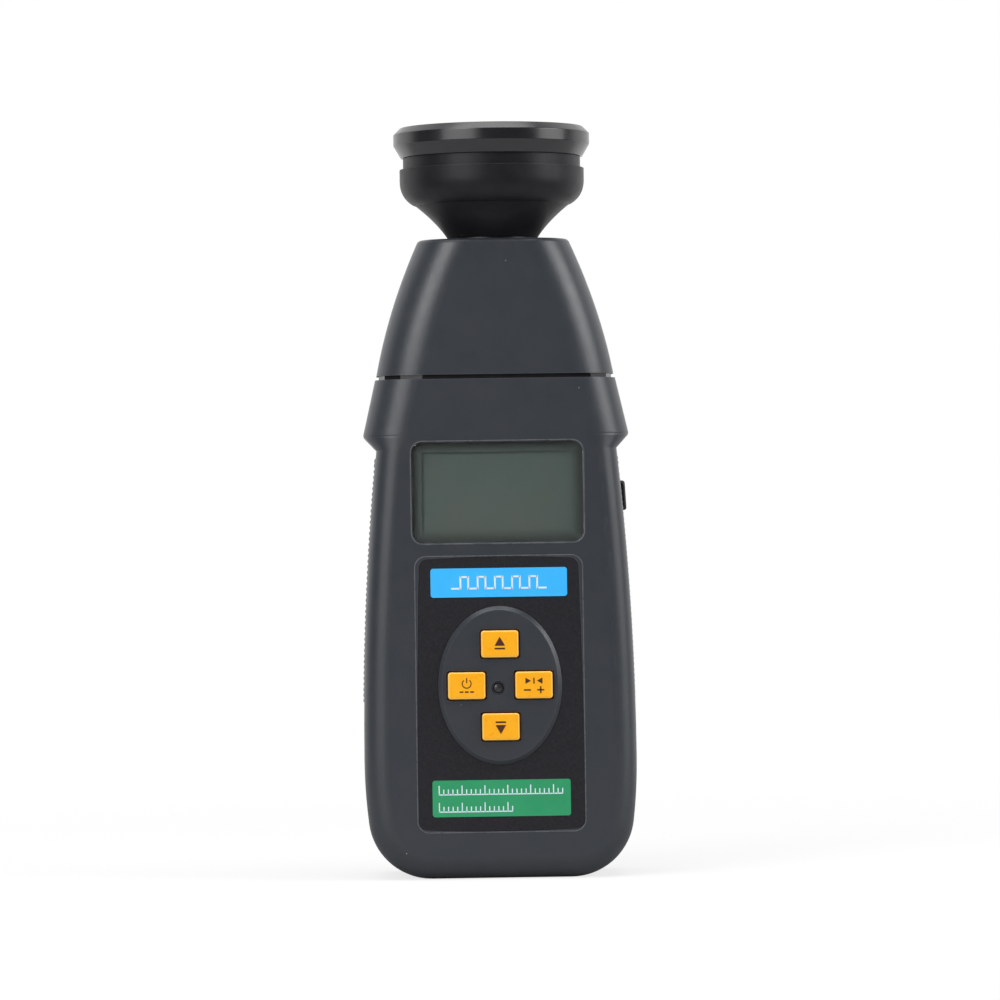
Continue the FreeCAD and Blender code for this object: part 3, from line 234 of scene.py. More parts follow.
camera_data = bpy.data.cameras.new("camera")
camera_data.sensor_width = SENSOR_WIDTH
camera_data.lens = SENSOR_WIDTH * CAMERA_DISTANCE / (IMAGE_SIDE / PIXELS_PER_METRE)
camera_data.clip_start = CLIP_START
camera_data.clip_end = CLIP_END
camera = bpy.data.objects.new("camera", camera_data)
bpy.context.scene.collection.objects.link(camera)
towards_camera = Vector((math.sin(CAMERA_TURN), -math.cos(CAMERA_TURN), 0.0))
look = (-towards_camera).to_track_quat("-Z", "Y").to_matrix().to_4x4()
place = Matrix.Translation(CAMERA_AIM + towards_camera * CAMERA_DISTANCE)
camera.matrix_world = place @ look @ Matrix.Rotation(CAMERA_ROLL, 4, "Z")
bpy.context.scene.camera = camera
bpy.context.scene.view_settings.view_transform = "Standard"
print("lens", round(camera_data.lens, 1), "mm")


# %% [markdown]
# Node trees are easier to read when one line makes one node. The first helpers make a node, set its
# properties, and either link each named input to another node's output or type a value into it. The last
# ones shorten sums, ramps and colours.


# %% Helpers for node trees
def attach(tree, value, socket):
    """Link a node's first output or a given output to a socket, or type a plain value into it."""
    if isinstance(value, bpy.types.Node):
        value = value.outputs[0]
    if isinstance(value, bpy.types.NodeSocket):
        tree.links.new(value, socket)
    else:
        socket.default_value = value


def node(tree, kind, inputs=None, **settings):
    """Make a shader node; each input takes a value, a node or a node's output."""
    made = tree.nodes.new("ShaderNode" + kind)
    for key, value in settings.items():
        setattr(made, key, value)
    for key, value in (inputs or {}).items():
        attach(tree, value, made.inputs[key])
    return made


def calc(tree, operation, *values):
    """Math node on its values."""
    return node(tree, "Math", dict(enumerate(values)), operation=operation)


def ramp(tree, value, start, full, low=0.0, high=1.0, shape="LINEAR"):
    """Value that goes from low to high while another goes from start to full."""
    return node(tree, "MapRange", {"Value": value, "From Min": start, "From Max": full, "To Min": low,
                                   "To Max": high}, interpolation_type=shape)


def srgb(red, green, blue):
    """A colour typed as 0 to 255 screen values, turned into Blender's linear values."""
    linear = []
    for value in (red, green, blue):
        share = value / 255
        linear.append(share / 12.92 if share <= 0.04045 else ((share + 0.055) / 1.055) ** 2.4)
    return (*linear, 1.0)


# %% [markdown]
# Glossy black pieces show the studio more than themselves, so the studio is part of their look. Two large
# softboxes stand left and right of the camera, at the angles at which a turned ring mirrors them. Each
# has a smaller, brighter lamp above it, which draws the bright bands on the slopes of the nose, and one
# more box hangs on top. The room behind the camera is dim. The far side is white to the camera, and to
# gloss and glass.

# %% Studio light
LAMP_DISTANCE = 1.2
LEFT_TURN = math.radians(-39.5)
RIGHT_TURN = math.radians(74)
TOP_PLACE = (-0.1, -0.25, 1.2)


def softbox(name, turn, width, height, centre_z, radiance):
    """Area lamp that stands at an angle from the camera's side and faces the lamp axis."""
    data = bpy.data.lights.new(name, "AREA")
    data.shape = "RECTANGLE"
    data.size = width
    data.size_y = height
    data.energy = radiance * math.pi * width * height
    lamp = bpy.data.objects.new(name, data)
    bpy.context.scene.collection.objects.link(lamp)
    place = Vector((math.sin(turn) * LAMP_DISTANCE, -math.cos(turn) * LAMP_DISTANCE, centre_z))
    aim = (Vector((0, 0, CAMERA_AIM.z)) - place).to_track_quat("-Z", "Y").to_matrix().to_4x4()
    lamp.matrix_world = Matrix.Translation(place) @ aim
    lamp.visible_camera = False
    return lamp


# Each row gives a name, a turn, a width, a height, the height of the lamp's centre and a radiance.
for lamp_values in (("softbox_left", LEFT_TURN, 0.92, 0.9, 0.45, 1.9),
                    ("softbox_right", RIGHT_TURN, 0.82, 0.9, 0.45, 2.2),
                    ("lamp_left", LEFT_TURN, 0.6, 0.5, 0.72, 5.0),
                    ("lamp_right", RIGHT_TURN, 0.6, 0.5, 0.72, 4.6)):
    softbox(*lamp_values)
top_lamp = softbox("softbox_top", 0.0, 1.1, 0.9, 0.0, 3.0)
top_lamp.matrix_world = Matrix.Translation(TOP_PLACE)

ROOM_FILL = 0.33
ROOM_FRONT = 0.05
BACKDROP_START = 0.1
BACKDROP_FULL = 0.5
world = bpy.data.worlds.new("studio")
world.use_nodes = True
bpy.context.scene.world = world
tree = world.node_tree
path = node(tree, "LightPath")
direction = node(tree, "TexCoord")
axes = node(tree, "SeparateXYZ", {"Vector": direction.outputs["Generated"]})
backdrop = ramp(tree, axes.outputs["Y"], BACKDROP_START, BACKDROP_FULL, ROOM_FRONT, shape="SMOOTHSTEP")
mirrored = calc(tree, "MAXIMUM", path.outputs["Is Glossy Ray"], path.outputs["Is Transmission Ray"])
unseen = node(tree, "Mix", {"Factor": mirrored, "A": ROOM_FILL, "B": backdrop})
seen = node(tree, "Mix", {"Factor": path.outputs["Is Camera Ray"], "A": unseen, "B": 1.0})
background = tree.nodes["Background"]
tree.links.new(seen.outputs[0], background.inputs["Strength"])
background.inputs["Color"].default_value = (1, 1, 1, 1)

# %% [markdown]
# The floor is a sheet of white paper round the object. To the camera it is mostly a white glow that grows
# to full white at its rim, so that it runs into the backdrop without an edge. Near the object there is
# enough real shading left in it to hold a soft shadow.

# %% Floor
FLOOR_SIZE = 1.0
FLOOR_SIDES = 96
FLOOR_GLOW = 0.75
SHADE_REACH = 0.16
GLOW_REACH = 0.44
PAPER_ROUGHNESS = 0.9
PAPER_WHITE = (0.9, 0.9, 0.9, 1)
PAPER_BOUNCE = (0.45, 0.45, 0.45, 1)
clear_selection()
bpy.ops.mesh.primitive_circle_add(vertices=FLOOR_SIDES, radius=FLOOR_SIZE / 2, fill_type="NGON",
                                  location=(0, 0, 0))
floor = bpy.context.object
floor.name = "floor"
paper = bpy.data.materials.new("paper_floor")
paper.use_nodes = True
tree = paper.node_tree
shader = tree.nodes["Principled BSDF"]
shader.inputs["Roughness"].default_value = PAPER_ROUGHNESS
shader.inputs["Specular IOR Level"].default_value = 0.0
path = node(tree, "LightPath")
shade = node(tree, "Mix", {"Factor": path.outputs["Is Camera Ray"], "A": PAPER_BOUNCE, "B": PAPER_WHITE},
             data_type="RGBA")
tree.links.new(shade.outputs["Result"], shader.inputs["Base Color"])
seen = calc(tree, "MAXIMUM", path.outputs["Is Camera Ray"], path.outputs["Is Transmission Ray"])
where = node(tree, "TexCoord")
away = node(tree, "VectorMath", {0: where.outputs["Object"]}, operation="LENGTH")
glow_share = ramp(tree, away.outputs["Value"], SHADE_REACH, GLOW_REACH, FLOOR_GLOW, shape="SMOOTHSTEP")
share = calc(tree, "MULTIPLY", seen, glow_share)
glow = node(tree, "Emission", {"Color": (1, 1, 1, 1), "Strength": 1.0})
blend = node(tree, "MixShader", {0: share, 1: shader, 2: glow})
tree.links.new(blend.outputs[0], tree.nodes["Material Output"].inputs["Surface"])
floor.data.materials.append(paper)


# %% [markdown]
# Moulded plastic is never one even colour. The tool leaves a spark-eroded grain, the shade drifts by a
# hair over some millimetres, the sheen is uneven, edges are polished by hands, and a little dust settles.
# Each of these is a node group, built once, and every finish places it with its own values.


# %% Shared effects as node groups
effects = {}
# Parts of a noise's range that are stretched to run from 0 to 1.
DRIFT_RANGE = (0.3, 0.7)
SHEEN_RANGE = (0.25, 0.75)
PATCH_RANGE = (0.3, 0.6)
PATCH_LEAST = 0.45
PATCH_SIZE = 1.6
# Likeness of the rounded and the true normal at which wear begins and is full.
WORN_START = 0.995
WORN_FULL = 0.88


def effect(name, output_kind, **inputs):
    """Decorator for a function that fills a node group and returns the socket of the group's result."""
    def build(fill):
        group = bpy.data.node_groups.new(name, "ShaderNodeTree")
        for title, value in inputs.items():
            kind = "Float" if isinstance(value, float) else "Color"
            socket = group.interface.new_socket(title, in_out="INPUT", socket_type="NodeSocket" + kind)
            socket.default_value = value
        group.interface.new_socket("Result", in_out="OUTPUT", socket_type="NodeSocket" + output_kind)
        given = group.nodes.new("NodeGroupInput").outputs
        end = group.nodes.new("NodeGroupOutput")
        attach(group, fill(group, given), end.inputs[0])
        effects[name] = group
        return fill
    return build


def noise_of(tree, size, detail=2.0):
    """Noise whose features have a size in millimetres, on the piece's own coordinates."""
    where = node(tree, "TexCoord")
    scale = calc(tree, "DIVIDE", 1 / MM, size)
    return node(tree, "TexNoise", {"Vector": where.outputs["Object"], "Scale": scale, "Detail": detail,
                                   "Roughness": 0.6})


@effect("grain", "Vector", Size=0.4, Depth=0.01)
def grain(group, given):
    """Fine relief: Size in mm, Depth in mm."""
    depth = calc(group, "MULTIPLY", given["Depth"], MM)
    relief = noise_of(group, given["Size"])
    return node(group, "Bump", {"Height": relief, "Strength": 1.0, "Distance": depth})


@effect("mottle", "Color", First=(0, 0, 0, 1), Second=(1, 1, 1, 1), Size=5.0)
def mottle(group, given):
    """Slow drift between two colours: Size in mm."""
    cloud = noise_of(group, given["Size"], 4.0)
    contrast = ramp(group, cloud, *DRIFT_RANGE)
    mix = node(group, "Mix", {"Factor": contrast, "A": given["First"], "B": given["Second"]},
               data_type="RGBA")
    return mix.outputs["Result"]


@effect("uneven", "Float", Low=0.3, High=0.5, Size=3.0)
def uneven(group, given):
    """Value that wanders between Low and High: Size in mm."""
    cloud = noise_of(group, given["Size"], 3.0)
    return ramp(group, cloud, *SHEEN_RANGE, given["Low"], given["High"])


@effect("rub", "Float", Width=0.4, Strength=0.5)
def rub(group, given):
    """Mask of the worn edges: Width in mm, Strength from 0 to 1."""
    radius = calc(group, "MULTIPLY", given["Width"], MM)
    rounded = node(group, "Bevel", {"Radius": radius}, samples=4)
    sharp = node(group, "NewGeometry")
    likeness = node(group, "VectorMath", {0: rounded, 1: sharp.outputs["Normal"]}, operation="DOT_PRODUCT")
    worn = ramp(group, likeness.outputs["Value"], WORN_START, WORN_FULL)
    patches = noise_of(group, PATCH_SIZE)
    broken = ramp(group, patches, *PATCH_RANGE, PATCH_LEAST)
    mask = calc(group, "MULTIPLY", worn, broken)
    return calc(group, "MULTIPLY", mask, given["Strength"])


@effect("dust", "Float", Spacing=4.0, Speck=0.12)
def dust(group, given):
    """Mask of sparse bright specks: Spacing and Speck in mm."""
    where = node(group, "TexCoord")
    scale = calc(group, "DIVIDE", 1 / MM, given["Spacing"])
    cells = node(group, "TexVoronoi", {"Vector": where.outputs["Object"], "Scale": scale})
    reach = calc(group, "DIVIDE", given["Speck"], given["Spacing"])
    return calc(group, "LESS_THAN", cells.outputs["Distance"], reach)


@effect("turned", "Float", Near=0.95, Far=0.6)
def turned(group, given):
    """Mask that grows from 0 to 1 as the surface turns away from facing the front or the back."""
    surface = node(group, "NewGeometry")
    axes = node(group, "SeparateXYZ", {"Vector": surface.outputs["Normal"]})
    share = calc(group, "ABSOLUTE", axes.outputs["Y"])
    return ramp(group, share, given["Near"], given["Far"])


window_low, window_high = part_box("display_window")


@effect("border", "Float", Width=3.0)
def border(group, given):
    """Mask that goes from 1 at the window's edge to 0 at a Width, in mm, inside it."""
    where = node(group, "TexCoord")
    moved = node(group, "VectorMath", {0: where.outputs["Object"], 1: middle("display_window")},
                 operation="SUBTRACT")
    folded = node(group, "VectorMath", {0: moved}, operation="ABSOLUTE")
    room = node(group, "VectorMath", {0: (window_high - window_low) / 2, 1: folded}, operation="SUBTRACT")
    axes = node(group, "SeparateXYZ", {0: room})
    least = calc(group, "SMOOTH_MIN", axes.outputs["X"], axes.outputs["Z"], MM)
    width = calc(group, "MULTIPLY", given["Width"], MM)
    return ramp(group, least, 0.0, width, 1.0, 0.0, shape="SMOOTHSTEP")


print(len(effects), "shared effects")


# %% [markdown]
# A finish starts from the Principled shader. What is the same all over, such as metalness, is typed into
# the shader. What changes over the surface comes through the groups. This function holds the chain that
# all finishes share.


# %% Finish builder
finishes = {}
DUST_GREY = srgb(190, 192, 196)


def placed(tree, effect_name, **values):
    """Place a shared effect in a material with its own values, and return its output."""
    made = tree.nodes.new("ShaderNodeGroup")
    made.node_tree = effects[effect_name]
    for key, value in values.items():
        made.inputs[key.title()].default_value = value
    return made.outputs[0]


def tint(material, mask, colour):
    """Blend a finish into another colour where a mask is set."""
    tree = material.node_tree
    base = tree.nodes["Principled BSDF"].inputs["Base Color"]
    mix = node(tree, "Mix", {"Factor": mask, "A": base.links[0].from_socket, "B": colour}, data_type="RGBA")
    tree.links.new(mix.outputs["Result"], base)


def finish(name, first, second, mottle=6.0, rough=(0.4, 0.5), rough_size=3.0, grain=(0.4, 0.01), rub=None,
           dust=None, **fixed):
    """A finish with colour drift, uneven sheen and grain, and optionally rubbed edges and dust."""
    material = bpy.data.materials.new(name)
    material.use_nodes = True
    tree = material.node_tree
    shader = tree.nodes["Principled BSDF"]
    colour = placed(tree, "mottle", first=first, second=second, size=mottle)
    tree.links.new(colour, shader.inputs["Base Color"])
    if rub:
        rub_colour, width, strength = rub
        tint(material, placed(tree, "rub", width=width, strength=strength), rub_colour)
    if dust:
        spacing, speck = dust
        tint(material, placed(tree, "dust", spacing=spacing, speck=speck), DUST_GREY)
    sheen = placed(tree, "uneven", low=rough[0], high=rough[1], size=rough_size)
    tree.links.new(sheen, shader.inputs["Roughness"])
    tree.links.new(placed(tree, "grain", size=grain[0], depth=grain[1]), shader.inputs["Normal"])
    for key, value in fixed.items():
        shader.inputs[key.replace("_", " ")].default_value = value
    finishes[name] = material
    return material


# %% [markdown]
# The casing is dark blue-grey ABS with a fine eroded grain. Its sheen is broad and soft: the roughness is
# near the middle. The lamp housing is satin black. Its screw ring is lacquered, so the ring's roughness
# is low.

# %% Finishes of the casing and lamp
finish("shell_plastic", srgb(50, 54, 60), srgb(54, 57, 62), mottle=9.0, rough=(0.31, 0.37),
       grain=(0.42, 0.03), rub=(srgb(98, 100, 106), 0.35, 0.5), dust=(9.0, 0.12))
finish("lamp_black", srgb(24, 23, 27), srgb(30, 29, 33), mottle=5.0, rough=(0.38, 0.46), grain=(1.2, 0.002),
       rub=(srgb(84, 84, 88), 0.25, 0.5), dust=(7.0, 0.08), Specular_IOR_Level=0.27)
finish("ring_black", srgb(26, 25, 29), srgb(32, 31, 35), mottle=4.0, rough=(0.2, 0.27), grain=(1.6, 0.0015),
       rub=(srgb(120, 121, 126), 0.2, 0.7), Specular_IOR_Level=0.75)
# A lighter finish for the lips round the display and the label: a painted highlight line.
finish("lip_painted_highlight", srgb(78, 80, 85), srgb(92, 94, 99), rough=(0.24, 0.32), grain=(0.5, 0.006))
finish("collar_black", srgb(30, 30, 33), srgb(36, 36, 39), rough=(0.18, 0.26), grain=(0.8, 0.004))
finish("black_nylon", srgb(22, 22, 24), srgb(28, 28, 30), rough=(0.3, 0.4), grain=(0.5, 0.004))
finish("gasket_rubber", srgb(18, 18, 19), srgb(26, 26, 27), rough=(0.6, 0.75), grain=(0.3, 0.02))
finish("black_plastic", srgb(20, 20, 22), srgb(27, 27, 29), rough=(0.34, 0.44), grain=(0.4, 0.008),
       rub=(srgb(70, 70, 74), 0.25, 0.4))
finish("label_black", srgb(20, 19, 25), srgb(32, 32, 38), mottle=0.7, rough=(0.42, 0.6), rough_size=0.8,
       grain=(0.55, 0.04), dust=(8.0, 0.12), Specular_IOR_Level=0.35)
for name, first, second in (("strip_blue", (54, 181, 252), (60, 187, 255)),
                            ("strip_green", (38, 148, 98), (46, 156, 104))):
    finish(name, srgb(*first), srgb(*second), mottle=14.0, rough=(0.32, 0.38), grain=(0.8, 0.002))
key_finish = finish("key_orange", srgb(253, 172, 12), srgb(255, 180, 22), mottle=3.0, rough=(0.26, 0.34),
                    grain=(0.5, 0.004), Subsurface_Weight=0.06, Subsurface_Scale=0.001)
finish("plunger_brown", srgb(96, 60, 40), srgb(110, 70, 48), rough=(0.35, 0.45))
finish("indicator_dark", srgb(44, 42, 45), srgb(52, 49, 52), rough=(0.22, 0.3), grain=(1.5, 0.002))
finish("indicator_red", srgb(176, 30, 26), srgb(200, 44, 34), rough=(0.1, 0.2), Transmission_Weight=0.4)
print(len(finishes), "finishes")

# %% [markdown]
# The keys are moulded in a rubbery plastic that lets some light through. Their rounded rims get a painted
# highlight, paler than their crowns, and their walls, down in the gap, get a painted dark red shade. Both
# follow from how far the surface turns away from the front.

# %% Painted highlight and shade on the keys
KEY_RIM_HIGHLIGHT = srgb(255, 212, 104)
KEY_WALL_SHADE = srgb(150, 44, 12)
# The first colour is a painted highlight on the rounded rims, the second a painted dark red shade on the
# walls down in the gap.
for near, far, colour in ((0.985, 0.9, KEY_RIM_HIGHLIGHT), (0.74, 0.45, KEY_WALL_SHADE)):
    tint(key_finish, placed(key_finish.node_tree, "turned", near=near, far=far), colour)

# %% [markdown]
# Metals take their look from what they mirror: metalness is full, and the grain follows how the part was
# made.

# %% Finishes of metal parts
for name, first, second, rough, grain, rub in (
        ("reflector_metal", (222, 224, 226), (236, 237, 238), (0.06, 0.14), (2.2, 0.012), None),
        ("electrode_metal", (150, 148, 146), (176, 172, 168), (0.25, 0.4), (0.2, 0.003), None),
        ("can_steel", (176, 178, 180), (198, 200, 202), (0.2, 0.32), (0.5, 0.003), None),
        ("screw_steel", (120, 122, 126), (152, 154, 158), (0.26, 0.4), (0.25, 0.006),
         (srgb(206, 207, 210), 0.15, 0.6)),
        ("spring_steel", (188, 190, 192), (208, 209, 210), (0.18, 0.3), (0.4, 0.003), None),
        ("cell_end_steel", (196, 197, 198), (214, 215, 216), (0.2, 0.34), (0.5, 0.003), None)):
    finish(name, srgb(*first), srgb(*second), rough=rough, grain=grain, rub=rub, Metallic=1.0)

# %% [markdown]
# Inside are boards, wound parts and wires. They show when the battery door is open or the case is apart.

# %% Finishes of the inner parts
for name, first, second, rough, grain in (
        ("lamp_ceramic", (226, 222, 210), (236, 233, 224), (0.5, 0.65), (0.3, 0.01)),
        ("lead_red", (176, 24, 22), (196, 34, 30), (0.35, 0.45), (0.5, 0.004)),
        ("lead_black", (22, 22, 23), (30, 30, 32), (0.35, 0.45), (0.5, 0.004)),
        ("lead_white", (222, 222, 216), (234, 234, 230), (0.35, 0.45), (0.5, 0.004)),
        ("terminal_green", (34, 118, 66), (42, 132, 76), (0.35, 0.45), (0.4, 0.01)),
        ("capacitor_sleeve", (26, 30, 58), (34, 40, 74), (0.22, 0.3), (1.0, 0.004)),
        ("winding_tape", (210, 170, 60), (224, 186, 78), (0.25, 0.35), (1.2, 0.01)),
        ("coil_epoxy", (34, 33, 36), (46, 44, 46), (0.25, 0.4), (0.8, 0.01))):
    finish(name, srgb(*first), srgb(*second), rough=rough, grain=grain)
finish("zebra_rubber", srgb(60, 60, 62), srgb(120, 120, 120), mottle=0.4, rough=(0.5, 0.6))
finish("ferrite", srgb(44, 42, 42), srgb(58, 55, 54), mottle=1.0, rough=(0.55, 0.7), grain=(0.25, 0.02))
finish("cell_jacket", srgb(52, 56, 62), srgb(60, 64, 70), rough=(0.22, 0.3), grain=(1.6, 0.003),
       Coat_Weight=0.4)
finish("cell_band", srgb(196, 150, 84), srgb(212, 166, 98), rough=(0.2, 0.3), grain=(1.6, 0.003),
       Metallic=0.8)
print(len(finishes), "finishes")


# %% [markdown]
# A circuit board is green lacquer over copper tracks. The tracks are a brick pattern at an angle, which
# gives long runs with steps, raised a little and lighter than the lacquer between them.

# %% Finish of the circuit boards
TRACK_SCALE = 260.0
TRACK_WIDTH = 0.09
TRACK_RISE = 0.04 * MM
TRACK_GREEN = srgb(40, 118, 74)


def board_finish():
    """Lacquered board with tracks that show through as lighter, raised runs."""
    material = finish("board_green", srgb(14, 74, 44), srgb(18, 84, 50), rough=(0.2, 0.3),
                      grain=(0.8, 0.004))
    tree = material.node_tree
    normal = tree.nodes["Principled BSDF"].inputs["Normal"]
    where = node(tree, "TexCoord")
    upright = node(tree, "Mapping", {"Vector": where.outputs["Object"],
                                     "Rotation": (math.radians(90), 0, 0)})
    tracks = node(tree, "TexBrick", {"Vector": upright, "Scale": TRACK_SCALE, "Mortar Size": TRACK_WIDTH,
                                     "Color1": (0, 0, 0, 1), "Color2": (0, 0, 0, 1), "Mortar": (1, 1, 1, 1)})
    tint(material, tracks.outputs["Fac"], TRACK_GREEN)
    relief = node(tree, "Bump", {"Height": tracks.outputs["Fac"], "Distance": TRACK_RISE,
                                 "Normal": normal.links[0].from_socket})
    tree.links.new(relief.outputs[0], normal)


board_finish()


# %% [markdown]
# Clear parts let light through to what lies behind, so they are full transmission with the index of their
# stuff: acrylic for the window, float glass for the lens, fused quartz for the flash tube.

# %% Finishes of clear parts
def clear_finish(name, index, colour, rough, grain):
    """Clear plastic or glass with faint smears in its sheen, which lets light straight through."""
    material = finish(name, colour, colour, rough=rough, rough_size=9.0, grain=grain, IOR=index,
                      Transmission_Weight=1.0)
    tree = material.node_tree
    path = node(tree, "LightPath")
    open_air = node(tree, "BsdfTransparent", {"Color": (0.94, 0.95, 0.95, 1)})
    blend = node(tree, "MixShader", {0: path.outputs["Is Shadow Ray"], 1: tree.nodes["Principled BSDF"],
                                     2: open_air})
    tree.links.new(blend.outputs[0], tree.nodes["Material Output"].inputs["Surface"])


clear_finish("window_clear", 1.49, (0.97, 0.985, 0.98, 1), (0.015, 0.04), (12.0, 0.0002))
clear_finish("lens_clear", 1.52, (0.97, 0.98, 0.98, 1), (0.0, 0.03), (9.0, 0.001))
clear_finish("tube_glass", 1.46, (0.98, 0.98, 0.99, 1), (0.0, 0.03), (3.0, 0.002))


# %% [markdown]
# The display is off: a grey-green panel that drifts a little towards brown. Towards its frame it darkens
# with a painted shade, which stands in for the shade of the recess. The painted shade is a mask of the
# distance to the window's edge, worked out from the frame's own box of the window.

# %% Finishes of the display
LCD_BROWN = srgb(80, 84, 78)
LCD_GREEN = srgb(70, 83, 81)
LCD_PAINTED_SHADE = srgb(44, 48, 47)
LCD_SHADE = 4.2
for panel in ("lcd_grey", "window_shade_film"):
    material = finish(panel, LCD_BROWN, LCD_GREEN, mottle=34.0, rough=(0.3, 0.36), grain=(1.0, 0.001))
    # Panel and film darken towards the window's edge: a painted shade where the recess would shade the
    # panel.
    tint(material, placed(material.node_tree, "border", width=LCD_SHADE), LCD_PAINTED_SHADE)

# %% [markdown]
# Printing is ink a few hundredths of a millimetre thick. White on the strips, dark brown on the orange
# keys.

# %% Finishes of the printing
finish("white_ink", srgb(212, 232, 244), srgb(224, 240, 248), mottle=1.5, rough=(0.4, 0.5),
       grain=(0.5, 0.004))
finish("brown_ink", srgb(70, 30, 10), srgb(84, 38, 14), mottle=1.0, rough=(0.4, 0.5), grain=(0.5, 0.004))

# %% Give every piece of the frame its finish
for name, piece in sorted(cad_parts.items()):
    for slot in piece.material_slots:
        slot.material = finishes[slot.material.name]
print(len(finishes), "finishes on", len(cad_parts), "nodes")


# %% [markdown]
# The keys are soft-edged caps with a flange behind the casing that keeps them in, and a stem that presses
# the switch. One cap is modelled from a block: its front is inset and pulled out, its edges are rounded,
# and its back is inset and pulled out to the stem. Copies with meshes of their own go to the four places.

# %% Key caps
KEY_WIDTH = 10.75 * MM
KEY_HEIGHT = 7.8 * MM
KEY_FLANGE = 1.0 * MM
KEY_CORNER = 0.9 * MM
KEY_EDGE = 0.55 * MM
KEY_CROWN = 0.06 * MM
CROWN_INSET = 0.88 * MM
EDGE_SHAPE = 0.55
STEM_SIDE = 3.2 * MM
FLANGE_FRONT = -17.7 * MM
key_names = ("up", "down", "read", "fine")


def key_cap():
    """Key cap at the place of the upper key."""
    low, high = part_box("button_up")
    centre = (low + high) / 2
    front = low.y + KEY_CROWN
    cap = block((centre.x, FLANGE_FRONT + KEY_FLANGE / 2, centre.z),
                (KEY_WIDTH + 2 * KEY_FLANGE, KEY_FLANGE, KEY_HEIGHT + 2 * KEY_FLANGE))
    pick(lambda c, n: n.y < -FACING)
    bpy.ops.mesh.inset(thickness=KEY_FLANGE, depth=0)
    pull((0, front - FLANGE_FRONT, 0))

    def cap_upright(a, b):
        beside = max(abs(a.x - centre.x) - KEY_WIDTH / 2, abs(a.z - centre.z) - KEY_HEIGHT / 2)
        return beside < KEY_FLANGE / 10 and abs(a.y - b.y) > MM and min(a.y, b.y) < FLANGE_FRONT - MM

    round_edges(cap_upright, KEY_CORNER, 6)
    pick(lambda c, n: n.y < -FACING and c.y < FLANGE_FRONT - MM)
    bpy.ops.mesh.inset(thickness=CROWN_INSET, depth=0)
    bpy.ops.transform.translate(value=(0, -KEY_CROWN, 0))
    round_edges(at_depth(front), KEY_EDGE, 5, profile=EDGE_SHAPE)
    pick(lambda c, n: n.y > FACING)
    bpy.ops.mesh.inset(thickness=(KEY_HEIGHT + 2 * KEY_FLANGE - STEM_SIDE) / 2, depth=0)
    pull((0, high.y - FLANGE_FRONT - KEY_FLANGE, 0))
    bpy.ops.object.mode_set(mode="OBJECT")
    return cap


def place_keys():
    """Copy the cap to each key's place and let each ride on its own body."""
    first = key_cap()
    copies = {name: copy_of(first) for name in key_names}
    bpy.data.objects.remove(first)
    for name, copy in copies.items():
        copy.location = middle("button_" + name) - middle("button_up")
        activate(copy)
        close_piece("key_cap_" + name, "key_" + name, "key_orange", 40, ["button_" + name])


place_keys()


# %% [markdown]
# The marks on the keys are plain signs: an arrow up, an arrow down, the on and off sign, and a pair of
# small arrows over a minus and a plus for fine steps. Each is made of thin bars and triangles that are
# joined into one mesh.


# %% Printed marks
INK = 0.03 * MM
BAR_SOFTNESS = 0.22
POINT_SOFTNESS = 0.12
RING_GAP = math.radians(80)
RING_STEPS = 40


def through_ink(a, b):
    """Test for edges that run from the ink's back to its face."""
    return abs(a.y - b.y) > INK / 2


def ink_bar(x, z, width, height, face):
    """Bar of ink with softened corners, centred at x and z, on a face that looks towards -Y."""
    bar = block((x, face - INK / 2, z), (width, INK, height))
    round_edges(through_ink, min(width, height) * BAR_SOFTNESS, 2)
    return bar


def ink_triangle(x, z, size, turn, face):
    """Triangle of ink whose point is turned from straight up."""
    clear_selection()
    bpy.ops.mesh.primitive_cylinder_add(vertices=3, radius=size, depth=INK, location=(x, face - INK / 2, z),
                                        rotation=(math.radians(90), 0, 0))
    mark = bpy.context.object
    apply_place()
    edit(True)
    bpy.ops.transform.rotate(value=turn, orient_axis="Y", center_override=(x, face, z))
    round_edges(through_ink, size * POINT_SOFTNESS, 3)
    return mark


def ink_ring(x, z, radius, stroke, face):
    """Open ring of ink: a short line is spun from one side of the gap at the top to the other."""
    out = Vector((math.sin(RING_GAP / 2), 0, math.cos(RING_GAP / 2)))
    centre = Vector((x, face - INK, z))
    ring = lone_point(centre + out * (radius - stroke / 2))
    pull(out * stroke)
    bpy.ops.mesh.select_all(action="SELECT")
    bpy.ops.mesh.spin(steps=RING_STEPS, angle=2 * math.pi - RING_GAP, center=centre, axis=(0, -1, 0))
    bpy.ops.mesh.select_all(action="SELECT")
    pull((0, INK, 0))
    seal()
    return ring


# Each shape has a place from the key's centre, sideways and upwards, and then its two sizes, all in
# millimetres. The second value of a triangle is its turn in degrees.
KEY_SIGNS = {
    "up": ((ink_triangle, 0, 0.35, 1.75, 0), (ink_bar, 0, -1.3, 3.0, 0.5)),
    "down": ((ink_triangle, 0, -0.35, 1.75, 180), (ink_bar, 0, 1.3, 3.0, 0.5)),
    "read": ((ink_ring, 0, 0.6, 1.25, 0.3), (ink_bar, 0, 1.5, 0.3, 1.5), (ink_bar, -1.5, -1.75, 1.1, 0.42),
             (ink_bar, 0, -1.75, 1.1, 0.42), (ink_bar, 1.5, -1.75, 1.1, 0.42)),
    "fine": ((ink_triangle, -1.9, 1.2, 1.05, -90), (ink_triangle, 1.9, 1.2, 1.05, 90),
             (ink_bar, 0, 1.2, 0.38, 1.7), (ink_bar, -1.9, -1.4, 2.0, 0.42),
             (ink_bar, 1.9, -1.4, 2.0, 0.42), (ink_bar, 1.9, -1.4, 0.42, 2.0)),
}


